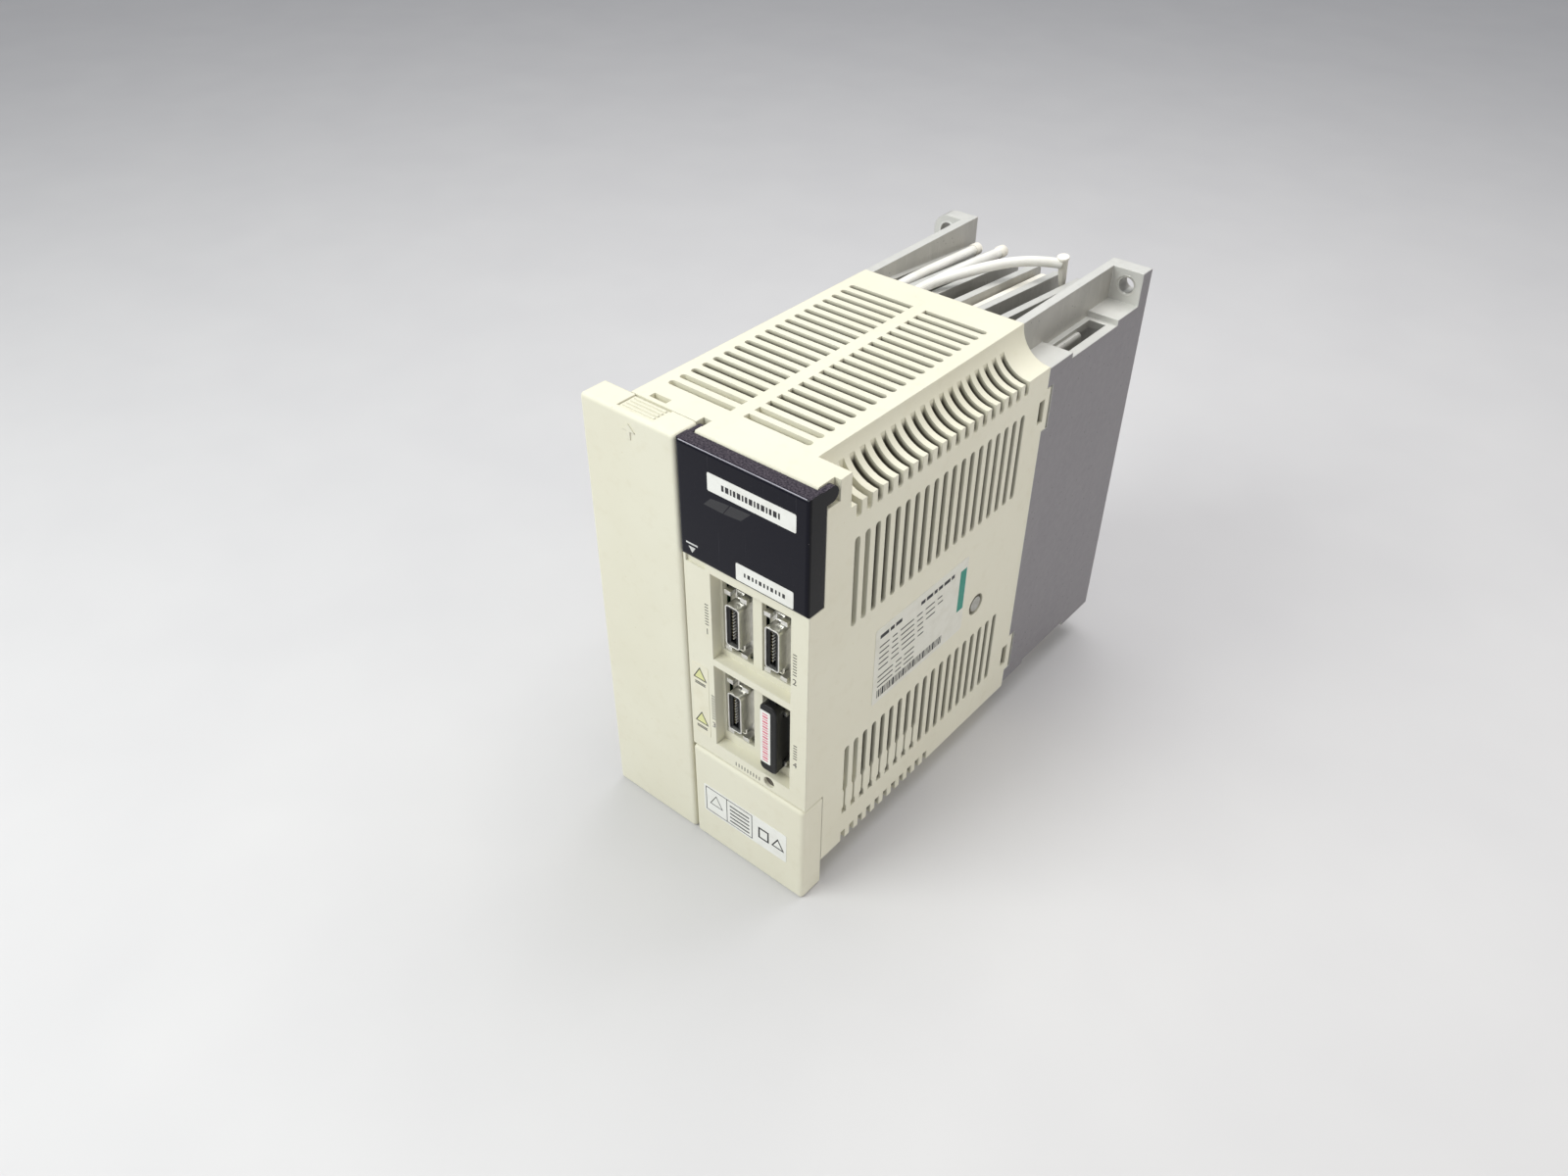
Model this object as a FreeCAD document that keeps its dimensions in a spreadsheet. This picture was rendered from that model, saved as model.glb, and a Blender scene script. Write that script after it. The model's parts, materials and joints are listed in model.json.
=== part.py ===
import FreeCAD, Part
import math
import os

import Sketcher

# Servo drive: a moulded case on a cast heat sink, with a terminal bay and a signal panel in front.
# Everything is drawn from the front lower left corner of the outer box (X right, Y back, Z up),
# and each piece's Placement then moves the origin to the bottom centre of that box.

DIMENSIONS = {
    # outer box
    "width": 90, "depth": 195, "height": 168,
    # case moulding
    "corner_cut": 12, "wall": 2, "gap": 0.3,
    "case_front": 10.3, "case_back": 127, "bay_back": 28, "bay_wall": 2.5, "bay_top": 154, "bay_foot": 14,
    # ventilation slots
    "slot_pitch": 5, "slot_width": 2.5, "first_slot": 22.5, "slot_rows": 19, "neck_rows": 9, "foot_rows": 11,
    # covers
    "cover_depth": 10, "cover_wall": 2, "edge_round": 1.5,
    "terminal_cover_width": 39.5, "split": 40, "lower_cover_height": 44.2,
    "window_foot": 127, "window_side": 7.5, "frame_inset": 2, "hinge_depth": 10, "hinge_height": 165,
    "hinge_round": 2.6, "hinge_pin": 1.2, "running_gap": 0.06,
    # signal panel
    "panel_front": 1, "panel_floor": 5.2, "panel_back": 7.2,
    "connector_column": 58.3, "connector_row": 68.3, "column_pitch": 16.2, "row_pitch": 36.9,
    "lamp_across": 74.4, "lamp_up": 47.8, "lamp_radius": 2.2,
    "dial_across": 77, "dial_up": 146, "dial_radius": 4,
    # heat sink
    "plate": 6, "sink_wall": 3.5, "side_foot": 14, "side_top": 155.5, "shelf": 3,
    "fin_thickness": 3, "fin_pitch": 9.7, "fin_front_top": 163.3, "fin_back_top": 157.6, "fin_back": 193.5,
    "lug": 6.5, "fixing_inset": 6, "fixing_radius": 3,
    # fan under the fins
    "fan_size": 50, "fan_foot": 6, "fan_thickness": 15, "fan_middle": 163, "fan_hole": 23.5,
    "hub_radius": 10.5,
    # circuit boards
    "board": 1.6, "control_board_front": 14, "power_board_front": 104,
    "side_screw_depth": 97, "side_screw_up": 73,
}

doc = FreeCAD.newDocument("servo_drive")
sheet = doc.addObject("Spreadsheet::Sheet", "Sizes")
for row, (alias, amount) in enumerate(DIMENSIONS.items(), start=1):
    sheet.set(f"A{row}", alias)
    sheet.set(f"B{row}", str(amount))
    sheet.setAlias(f"B{row}", alias)
doc.recompute()


class Size:
    """A number together with the sheet formula that gives it."""

    def __init__(self, value, formula):
        self.value = value
        self.formula = formula

    def __add__(self, other):
        return join(self, "+", other)

    def __radd__(self, other):
        return join(other, "+", self)

    def __sub__(self, other):
        return join(self, "-", other)

    def __rsub__(self, other):
        return join(other, "-", self)

    def __mul__(self, other):
        return join(self, "*", other)

    def __rmul__(self, other):
        return join(other, "*", self)

    def __truediv__(self, other):
        return join(self, "/", other)

    def __neg__(self):
        return join(0, "-", self)


def size(amount):
    return amount if isinstance(amount, Size) else Size(float(amount), f"{float(amount):.6g}")


def join(left, sign, right):
    left, right = size(left), size(right)
    results = {
        "+": lambda: left.value + right.value,
        "-": lambda: left.value - right.value,
        "*": lambda: left.value * right.value,
        "/": lambda: left.value / right.value,
    }
    return Size(results[sign](), f"({left.formula} {sign} {right.formula})")


def root(amount):
    return Size(math.sqrt(amount.value), f"sqrt({amount.formula})")


class Sizes:
    """The driving dimensions by name."""


for alias, amount in DIMENSIONS.items():
    setattr(Sizes, alias, Size(float(amount), f"Sizes.{alias}"))
S = Sizes

MIDDLE = S.width / 2
SINK_PLATE_FRONT = S.case_back - S.plate
FAN_TOP = S.fan_foot + S.fan_thickness
CONNECTORS = [
    (S.connector_column + S.column_pitch * column, S.connector_row + S.row_pitch * row)
    for row in (1, 0) for column in (0, 1)
]
LEADS = {
    "resistor_lead_1": [
        (21, 109.8, 147), (21, 115, 149), (20.8, 122, 160.5), (20.7, 140, 161.5), (20.7, 165, 160.2),
        (20.2, 186, 158.5),
    ],
    "resistor_lead_2": [
        (27.5, 109.8, 147), (27.8, 115, 149), (29.2, 122, 159.6), (29.4, 138, 162.2), (30.5, 164, 161.9),
        (30.4, 188, 159.7),
    ],
    "resistor_lead_3": [
        (34, 110.1, 147), (33.6, 115, 150), (32, 123, 163.2), (32.2, 131, 164.8), (33.8, 141, 165.4),
        (42.5, 165.5, 165.9), (50, 176, 166), (57.65, 182.95, 165.1),
    ],
}
BOARD_SCREWS = [(47.5, 88), (82.8, 88), (47.5, 127), (82.8, 127)]
TURN = {
    "X": FreeCAD.Rotation(FreeCAD.Vector(0, 1, 0), 90),
    "Y": FreeCAD.Rotation(FreeCAD.Vector(1, 0, 0), -90),
    "Z": FreeCAD.Rotation(),
}
PLANE = {"X": "YZ_Plane", "Y": "XZ_Plane", "Z": "XY_Plane"}
nodes = []


# ---------------------------------------------------------------- helpers

def bind(thing, name, amount):
    thing.setExpression(name, size(amount).formula)


def bind_base(thing, at):
    for letter, amount in zip("xyz", at):
        bind(thing, f"Placement.Base.{letter}", amount)


def node(thing, label):
    """Names a finished piece and moves the origin to the bottom centre of the outer box."""
    if thing.TypeId in ("Part::Box", "Part::Cylinder", "Part::Cone"):
        thing = group([thing])
    thing.Label = label
    bind(thing, "Placement.Base.x", -MIDDLE)
    bind(thing, "Placement.Base.y", -S.depth / 2)
    nodes.append(thing)
    return thing


def new_body(label):
    return node(doc.addObject("PartDesign::Body", label), label)


def tool_body():
    """A body that is only a cutting tool, so it may hold several solids."""
    body = doc.addObject("PartDesign::Body", "Tool")
    body.AllowCompound = True
    return body


def origin_part(body, role):
    return next(part for part in body.Origin.OriginFeatures if part.Role == role)


def arc_middle(start, end, radius):
    """The middle of the shorter arc: a positive radius turns left, a negative one right."""
    chord = end - start
    rise = abs(radius) - math.sqrt(max(radius ** 2 - (chord.Length / 2) ** 2, 0))
    right = FreeCAD.Vector(chord.y, -chord.x, 0).normalize()
    return (start + end) / 2 + right * math.copysign(rise, radius)


def pin_point(sketch, edge, end, x, y):
    for kind, amount in (("DistanceX", x), ("DistanceY", y)):
        rule = Sketcher.Constraint(kind, -1, 1, edge, end, amount.value)
        bind(sketch, f"Constraints[{sketch.addConstraint(rule)}]", amount)


def pin_radius(sketch, edge, radius):
    rule = sketch.addConstraint(Sketcher.Constraint("Radius", edge, abs(radius.value)))
    bind(sketch, f"Constraints[{rule}]", radius if radius.value > 0 else -radius)


def draw_outline(sketch, outline):
    """A closed outline. A corner is (x, y), or (x, y, radius) where an arc leads to it."""
    corners = [[size(amount) for amount in corner] for corner in outline]
    points = [FreeCAD.Vector(corner[0].value, corner[1].value, 0) for corner in corners]
    ends = [[] for _ in corners]
    for i, corner in enumerate(corners):
        start, end = points[i - 1], points[i]
        if len(corner) == 3:
            middle = arc_middle(start, end, corner[2].value)
            edge = sketch.addGeometry(Part.Arc(start, middle, end))
            pin_radius(sketch, edge, corner[2])
        else:
            edge = sketch.addGeometry(Part.LineSegment(start, end))
        gaps = [(sketch.getPoint(edge, which) - start).Length for which in (1, 2)]
        first = 1 if gaps[0] < gaps[1] else 2
        ends[i - 1].append((edge, first))
        ends[i].append((edge, 3 - first))
    for corner, pair in zip(corners, ends):
        sketch.addConstraint(Sketcher.Constraint("Coincident", *pair[0], *pair[1]))
        pin_point(sketch, *pair[0], corner[0], corner[1])


def draw_circle(sketch, x, y, radius):
    x, y, radius = size(x), size(y), size(radius)
    centre = FreeCAD.Vector(x.value, y.value, 0)
    edge = sketch.addGeometry(Part.Circle(centre, FreeCAD.Vector(0, 0, 1), radius.value))
    pin_point(sketch, edge, 3, x, y)
    pin_radius(sketch, edge, radius)


def new_sketch(body, axis, start, outlines, circles):
    """A sketch square to an axis. Its x and y are the other two axes, in X, Y, Z order."""
    sketch = body.newObject("Sketcher::SketchObject", "Outline")
    sketch.AttachmentSupport = [(origin_part(body, PLANE[axis]), "")]
    sketch.MapMode = "FlatFace"
    bind(sketch, "AttachmentOffset.Base.z", -size(start) if axis == "Y" else start)
    for outline in outlines:
        draw_outline(sketch, outline)
    for circle in circles:
        draw_circle(sketch, *circle)
    return sketch


def pad(body, axis, start, length, outlines=(), circles=()):
    """Adds material from start, for length, along an axis."""
    feature = body.newObject("PartDesign::Pad", "Pad")
    feature.Refine = False
    feature.Profile = new_sketch(body, axis, start, outlines, circles)
    bind(feature, "Length", length)
    feature.Reversed = axis == "Y"
    body.Tip = feature
    return feature


def pocket(body, axis, start, length, outlines=(), circles=()):
    """Removes material from start, for length, along an axis."""
    feature = body.newObject("PartDesign::Pocket", "Pocket")
    feature.Refine = False
    feature.Profile = new_sketch(body, axis, start, outlines, circles)
    bind(feature, "Length", length)
    feature.Reversed = axis != "Y"
    body.Tip = feature
    return feature


def repeat(body, features, axis, pitch, count):
    pattern = body.newObject("PartDesign::LinearPattern", "Repeat")
    pattern.Refine = False
    pattern.Originals = features
    pattern.Direction = (origin_part(body, f"{axis}_Axis"), [""])
    bind(pattern, "Length", pitch * (size(count) - 1))
    bind(pattern, "Occurrences", count)
    body.Tip = pattern
    return pattern


def block(body, kind, low, high):
    """A box feature of a body, Additive or Subtractive, between two corners."""
    feature = body.newObject(f"PartDesign::{kind}Box", kind)
    feature.Refine = False
    for name, a, b in zip(("Length", "Width", "Height"), low, high):
        bind(feature, name, size(b) - a)
    bind_base(feature, low)
    body.Tip = feature
    return feature


def add(body, low, high):
    return block(body, "Additive", low, high)


def remove(body, low, high):
    return block(body, "Subtractive", low, high)


def soften(body, radius, chosen):
    """Rounds the edges of the body's last feature that chosen picks by their two end points."""
    doc.recompute()
    base = body.Tip
    names = []
    for number, edge in enumerate(base.Shape.Edges, start=1):
        ends = [vertex.Point for vertex in edge.Vertexes]
        if len(ends) == 2 and chosen(*ends):
            names.append(f"Edge{number}")
    fillet = body.newObject("PartDesign::Fillet", "Round")
    fillet.Base = (base, names)
    bind(fillet, "Radius", radius)
    body.Tip = fillet


def box(low, high):
    thing = doc.addObject("Part::Box", "Box")
    for name, a, b in zip(("Length", "Width", "Height"), low, high):
        bind(thing, name, size(b) - a)
    bind_base(thing, low)
    return thing


def rod(axis, at, length, radius):
    """A cylinder that starts at a point and runs along an axis."""
    thing = doc.addObject("Part::Cylinder", "Rod")
    bind(thing, "Radius", radius)
    bind(thing, "Height", length)
    thing.Placement = FreeCAD.Placement(FreeCAD.Vector(), TURN[axis])
    bind_base(thing, at)
    return thing


def fuse(things):
    result = doc.addObject("Part::MultiFuse", "Fuse")
    result.Shapes = things
    return result


def group(things):
    result = doc.addObject("Part::Compound", "Group")
    result.Links = things
    return result


def cut(base, tools):
    result = doc.addObject("Part::Cut", "Cut")
    result.Base = base
    result.Tool = tools[0] if len(tools) == 1 else group(tools)
    return result


def rectangle(x0, y0, x1, y1):
    return [(x0, y0), (x1, y0), (x1, y1), (x0, y1)]


def rounded(x0, y0, x1, y1, r):
    """A rectangle with four round corners."""
    return [
        (x0 + r, y0, r), (x1 - r, y0), (x1, y0 + r, r), (x1, y1 - r),
        (x1 - r, y1, r), (x0 + r, y1), (x0, y1 - r, r), (x0, y0 + r),
    ]


def notched(inset):
    """The section of case and heat sink: a rectangle with a hollow quarter round at each corner."""
    low, c = size(inset), S.corner_cut
    right, top = S.width - inset, S.height - inset
    return [
        (low + c, low, -c), (right - c, low), (right, low + c, -c), (right, top - c),
        (right - c, top, -c), (low + c, top), (low, top - c, -c), (low, low + c),
    ]


# ---------------------------------------------------------------- heat sink

def sink_fins(body):
    """Upright fins behind the plate, lower towards the back, with round back corners."""
    first = MIDDLE - 3 * S.fin_pitch - S.fin_thickness / 2
    nose = 2
    outline = [
        (S.case_back, FAN_TOP), (S.fin_back, FAN_TOP), (S.fin_back, S.fin_back_top - nose),
        (S.fin_back - nose, S.fin_back_top, nose), (S.case_back, S.fin_front_top),
    ]
    fin = pad(body, "X", first, S.fin_thickness, [outline])
    repeat(body, [fin], "X", S.fin_pitch, 7)


def sink_side(body, outer, inner):
    """A side duct between outer and inner X: two walls, a flange, shelves with a long hole, one fin."""
    sign = 1 if size(outer).value < size(inner).value else -1

    def span(a, b):
        ends = [outer + sign * a, outer + sign * b]
        return ends if sign > 0 else ends[::-1]

    duct = S.corner_cut
    back = S.depth
    step_front, step_back, step = 142, 174, 2
    foot, top = S.side_foot, S.side_top
    x0, x1 = span(0, S.sink_wall)
    add(body, (x0, S.case_back, foot), (x1, back, top))
    x0, x1 = span(duct, duct + S.sink_wall)
    add(body, (x0, S.case_back, 0), (x1, back, S.height))
    x0, x1 = span(0, duct + S.sink_wall)
    add(body, (x0, S.case_back, foot), (x1, S.case_back + 4, top))
    x0, x1 = span(1, duct + 1)
    add(body, (x0, S.case_back, top - step - S.shelf), (x1, back, top))
    add(body, (x0, S.case_back, foot), (x1, back, foot + step + S.shelf))
    x0, x1 = span(-1, duct)
    remove(body, (x0, step_front, top - step), (x1, step_back, top + 1))
    remove(body, (x0, step_front, foot - 1), (x1, step_back, foot + step))
    x0, x1 = span(S.sink_wall, duct - 2)
    remove(body, (x0, step_front + 1, top - step - S.shelf - 1), (x1, step_back - 2.5, top))
    remove(body, (x0, step_front + 1, foot), (x1, step_back - 2.5, foot + step + S.shelf + 1))
    # a short fin with a round top stands in the duct and shows through the long hole
    x0, x1 = span(8, 11)
    fin_front, fin_end = S.case_back + 2, 163
    crown, rounding = top - step - 3, 1.5
    add(body, (x0, fin_front, foot + step), (x1, fin_end, crown))
    pad(body, "Y", fin_front, fin_end - fin_front, circles=[(outer + sign * 9.5, crown, rounding)])


def fixing_lug(body, right, top):
    """A rear lug with one fixing hole; the left ones end in a half round about the hole."""
    r, inset, reach = S.fixing_inset, S.fixing_inset, S.corner_cut + S.sink_wall
    side = S.width if right else size(0)
    inward = -1 if right else 1
    edge = S.height if top else size(0)
    down = -1 if top else 1
    shoulder = edge + down * (S.corner_cut + 1.5)
    inner = side + inward * reach
    turn = r if inward * down > 0 else -r
    if right:
        outline = [(side, shoulder), (side, edge), (inner, edge), (inner, shoulder)]
    else:
        outline = [
            (side, edge + down * r), (side + r, edge, turn), (inner, edge),
            (inner, shoulder), (side, shoulder),
        ]
    pad(body, "Y", S.depth - S.lug, S.lug, [outline])
    hole = (side + inward * inset, edge + down * inset, S.fixing_radius)
    pocket(body, "Y", S.depth - S.lug - 1, S.lug + 2, circles=[hole])


def side_arm(body, x0, x1):
    """An arm that reaches into the case and takes one side screw."""
    depth, up = S.side_screw_depth, S.side_screw_up
    add(body, (x0, depth - 5, up - 5), (x1, SINK_PLATE_FRONT + 1, up + 5))
    pocket(body, "X", x0 - 1, 7, circles=[(depth, up, 1.25)])


def heat_sink():
    body = new_body("heat_sink")
    pad(body, "Y", SINK_PLATE_FRONT, S.plate + 0.5, [notched(S.wall + 0.2)])
    sink_fins(body)
    sink_side(body, size(0), S.corner_cut)
    sink_side(body, S.width, S.width - S.corner_cut)
    fixing_lug(body, False, True)
    fixing_lug(body, True, True)
    fixing_lug(body, False, False)
    side_arm(body, S.wall + 0.2, size(7))
    side_arm(body, S.width - 7, S.width - S.wall - 0.2)
    for x0, x1 in ((size(-1), size(2)), (S.width - 2, S.width + 1)):
        for low, high in ((131, 148), (20.5, 38.5)):
            remove(body, (x0, S.case_back - 7, low), (x1, S.case_back + 4, high))
    for column in (-2, 2):
        for row in (-2, 2):
            x, y = MIDDLE + column * S.fin_pitch, S.fan_middle + row * S.fin_pitch
            boss = add(body, (x - 3, y - 3, FAN_TOP), (x + 3, y + 3, FAN_TOP + 12))
            pocket(body, "Z", FAN_TOP - 1, 11, circles=[(x, y, 1.4)])
    # a gap in the plate's top edge lets the resistor leads out of the case
    remove(body, (18, SINK_PLATE_FRONT - 1, 154), (37, S.case_back + 1, S.height))
    return body


# ---------------------------------------------------------------- case

def case_hollows(body):
    """The inside of the case, the two terminal bays and the hollow behind the signal panel."""
    back = S.case_back + 1
    split, wall = S.split, S.wall
    pocket(body, "Y", S.bay_back + wall, back, [notched(wall)])
    remove(body, (split + wall, 12, 43.5), (S.width - wall, S.bay_back + 3, S.bay_top))
    remove(body, (split + wall, S.panel_back, 46.5), (S.width - wall, 13, 125))
    remove(body, (split + 4, 10.8, 124), (S.width - 4, 16.5, 162))
    remove(body, (S.bay_wall, S.case_front - 1, S.bay_foot), (split - S.bay_wall, S.bay_back, S.bay_top))
    remove(body, (split + 3, S.case_front - 1, S.bay_foot), (S.width - 3, S.bay_back, 41))
    remove(body, (14, 20, 156), (76, S.bay_back + 3, S.height - wall))


def case_front_blocks(body):
    """The signal panel and the frame behind the display window, with a round nose about the hinge."""
    split, side = S.split, S.width
    inner = side - S.cover_wall - S.gap
    nose, tip = 4.4, S.height - S.hinge_height
    frame_back = 18.5
    panel_foot, panel_top = S.lower_cover_height + S.gap, S.window_foot - S.gap
    add(body, (split, S.panel_front, panel_foot), (side, S.case_front + 1, panel_top))
    outline = [
        (S.hinge_depth - nose, S.window_foot - 1), (frame_back, S.window_foot - 1), (frame_back, S.height),
        (S.hinge_depth - root(size(nose * nose) - tip * tip), S.height),
        (S.hinge_depth - nose, S.hinge_height, nose),
    ]
    pad(body, "X", split + S.frame_inset, inner - split - S.frame_inset, [outline])
    add(body, (inner - 1, S.window_side + S.gap, S.window_foot - 1), (side, frame_back, 161))
    add(body, (inner - 1, 13.5, 160), (side, frame_back, S.height))


def case_recesses(body):
    """Connector recesses and holes, lamp hole, display recess and its two holes."""
    floor = S.panel_floor
    for low, high in ((89, 123.5), (50.6, 86.2)):
        remove(body, (51, S.panel_front - 1, low), (83.2, floor, high))
    for x, z in CONNECTORS:
        remove(body, (x - 6.2, floor - 1, z - 13.75), (x + 6.2, S.panel_back + 1, z + 13.75))
    remove(body, (41, S.panel_front - 1, 124), (49, S.panel_front + 0.8, S.window_foot))
    pocket(body, "Y", 0, 12.5, circles=[(S.lamp_across, S.lamp_up, S.lamp_radius)])
    remove(body, (45, 5, 131), (85, 8.8, 161))
    remove(body, (49, 8, 139), (68, 11, 153))
    pocket(body, "Y", 8, 4, circles=[(S.dial_across, S.dial_up, S.dial_radius + 1)])


def hinge_sockets(body):
    """Room for the window's two arms and a hole for each hinge pin."""
    at = (S.hinge_depth, S.hinge_height, S.hinge_pin + S.running_gap)
    remove(body, (S.split - 1, S.case_front - 1, 161), (S.split + 2.2, 13.5, S.height + 1))
    pocket(body, "X", S.split + 1, 5, circles=[at])
    pocket(body, "X", S.width - 6, 5, circles=[at])


def cover_sockets(body):
    """Open pockets that take the covers' hooks and the latch's tongue."""
    front = S.case_front - 1
    for x in (5, 30):
        remove(body, (x - 0.5, front, 1), (x + 4.5, 13.5, 10))
    for x in (44, 83):
        remove(body, (x - 0.5, front, 40.5), (x + 3.5, 15.5, 44.1))
    remove(body, (17, front, 160.5), (26, 15.5, 165.8))
    remove(body, (18, 12, 165), (25, 14.5, S.height + 1))


def case_screw_holes(body):
    """A clear hole and a counterbore in each side wall."""
    spot = S.side_screw_depth, S.side_screw_up
    for hole, bore in ((size(-1), size(-1)), (S.width - 3, S.width - 1.4)):
        pocket(body, "X", hole, 4, circles=[(*spot, 1.5)])
        pocket(body, "X", bore, 2.4, circles=[(*spot, 4.3)])


def snap_tabs(body):
    """Two clips on each side that reach back over the heat sink."""
    for x0, x1 in ((size(0), size(1.7)), (S.width - 1.7, S.width)):
        for low, high in ((131.3, 147.7), (20.8, 38.2)):
            add(body, (x0, 120, low), (x1, S.case_back + 2.5, high))
            remove(body, (x0 - 1, 123, low + 4), (x1 + 1, 126.5, high - 3.5))


def slot_outline(middle, half, foot, top):
    """An upright slot with a round foot and a round top."""
    low, high = middle - half, middle + half
    return [
        (high, foot + half, half), (high, top - half), (middle, top, half),
        (low, top - half, half), (low, foot + half), (middle, foot, half),
    ]


def slot_row(axis, start, length, outlines, count):
    """A row of slot-shaped cutters along Y."""
    tool = tool_body()
    first = pad(tool, axis, start, length, outlines)
    repeat(tool, [first], "Y", S.slot_pitch, count)
    return tool


def slots():
    """Rows of ventilation slots in the top, both sides and the curved upper and lower edges."""
    y, half, rows = S.first_slot, S.slot_width / 2, S.slot_rows
    low, high = y - half, y + half
    top = [
        [(42.5, low), (42.5, high), (16.3 + half, high), (16.3, y, half), (16.3 + half, low, half)],
        [(47.5, high), (47.5, low), (72.5 - half, low), (72.5, y, half), (72.5 - half, high, half)],
    ]
    tools = [slot_row("Z", S.height - S.wall - 1, 4, top, rows)]
    neck = 0.5
    stepped = [
        (y + neck, 29.5), (y + neck, 37), (high, 38.5), (high, 58.5 - half),
        (y, 58.5, half), (low, 58.5 - half, half),
        (low, 38.5), (y - neck, 37), (y - neck, 29.5), (low, 28.5), (low, 26), (high, 26), (high, 28.5),
    ]
    after = y + S.neck_rows * S.slot_pitch
    for x in (size(-1), S.width - 11):
        tools.append(slot_row("X", x, 12, [slot_outline(y, half, 151, 165.3)], rows))
        tools.append(slot_row("X", x, 12, [rectangle(low, 6, high, 16.5)], S.foot_rows))
    for x in (size(-1), S.width - 3):
        tools.append(slot_row("X", x, 4, [slot_outline(y, half, 110.5, 144)], rows))
        tools.append(slot_row("X", x, 4, [stepped], S.neck_rows))
        tools.append(slot_row("X", x, 4, [slot_outline(after, half, 26, 58.5)], rows - S.neck_rows))
    return tools


def main_case():
    body = doc.addObject("PartDesign::Body", "Case")
    pad(body, "Y", S.case_front, S.case_back - S.case_front, [notched(size(0))])
    case_front_blocks(body)
    case_hollows(body)
    case_recesses(body)
    hinge_sockets(body)
    cover_sockets(body)
    case_screw_holes(body)
    snap_tabs(body)
    for x, z in BOARD_SCREWS:
        pad(body, "Y", S.panel_back, S.control_board_front - S.panel_back, circles=[(x, z, 2.5)])
        pocket(body, "Y", S.control_board_front - 5, 6, circles=[(x, z, 1.1)])
    return node(cut(body, slots()), "main_case")


# ---------------------------------------------------------------- covers

def hollow_cover(label, low, high):
    """A five-sided cover, open at the back."""
    body = new_body(label)
    wall = S.cover_wall
    add(body, low, high)
    soften(body, S.edge_round, lambda a, b: min(a.y, b.y) < 0.01 and max(a.y, b.y) < S.cover_depth.value + 1)
    remove(body, (low[0] + wall, wall, low[2] + wall), (high[0] - wall, S.cover_depth + 1, high[2] - wall))
    return body


def terminal_cover():
    """The tall left cover. Its two hooks stand in open sockets and turn about the case's foot edge."""
    right, top, back = S.terminal_cover_width, S.height, S.cover_depth
    body = hollow_cover("terminal_cover", (size(0), size(0), size(0)), (right, back, top))
    remove(body, (14.2, 2.3, top - S.cover_wall - 1), (29.8, back + 1, top + 1))
    remove(body, (6, 4, -1), (33, back + 1, S.cover_wall + 1))
    reach, round_face = 1.6, size(4.35)
    hook = [
        (back - 0.5, round_face), (back, round_face),
        (back + reach, root(round_face * round_face - reach * reach), -round_face),
        (back + reach, 8), (back - 0.5, 8),
    ]
    for x in (5, 30):
        add(body, (x, back - 3, S.cover_wall - 0.5), (x + 4, back, 9))
        pad(body, "X", x, 4, [hook])
    return body


def cover_latch():
    """A ribbed button in the terminal cover's top edge with a tongue that reaches under the case top."""
    top, left, right = S.height, size(14.5), size(29.5)
    body = new_body("cover_latch")
    add(body, (left, 2.6, top - 2.2), (right, 9.7, top - 0.4))
    for y in (3.4, 5.0, 6.6, 8.2):
        add(body, (left + 1, y, top - 0.5), (right - 1, y + 0.8, top))
    add(body, (18.5, 8.7, top - 4.4), (24.5, 9.7, top - 2))
    add(body, (18.5, 8.7, top - 4.4), (24.5, 14, top - 3))
    return body


def lower_cover():
    """The small cover at the lower right, held by two hooks and open below for the wires."""
    left, right, back = S.split + 0.4, S.width, S.cover_depth
    top = S.lower_cover_height
    body = hollow_cover("lower_cover", (left, size(0), size(0)), (right, back, top))
    remove(body, (left + 6, 4, -1), (right - 14, back + 1, S.cover_wall + 1))
    for x in (44, 83):
        add(body, (x, back - 3, 41.7), (x + 3, back + 4, 43.2))
    return body


def window_side(body, x0, length):
    """One side wall of the display window, with the round ear of its hinge."""
    ear, y, z = S.hinge_round, S.hinge_depth, S.hinge_height
    outline = [
        (0, S.window_foot), (S.window_side, S.window_foot), (S.window_side, z - ear), (y, z - ear),
        (y + ear, z, ear), (y, z + ear, ear), (5.4, z + ear), (5.4, S.height), (0, S.height),
    ]
    pad(body, "X", x0, length, [outline])


def display_window():
    """The black display window: a front sheet, sides, a top strip, two hinge ears and their pins."""
    left, right, wall = S.split, S.width, S.cover_wall
    body = new_body("display_window")
    add(body, (left, 0, S.window_foot), (right, wall, S.height))
    window_side(body, left, 1.7)
    window_side(body, right - wall, wall)
    add(body, (left, 0, S.height - 1.7), (right, 5.4, S.height))
    add(body, (left, 0, S.window_foot), (right, 3, S.window_foot + 1.5))
    at = (S.hinge_depth, S.hinge_height, S.hinge_pin)
    pad(body, "X", left + 1.5, 2.2, circles=[at])
    pad(body, "X", right - wall - 2, 2.2, circles=[at])
    soften(body, 1.2, lambda a, b: max(a.y, b.y) < 0.01)
    return body


# ---------------------------------------------------------------- connectors and plug

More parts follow.
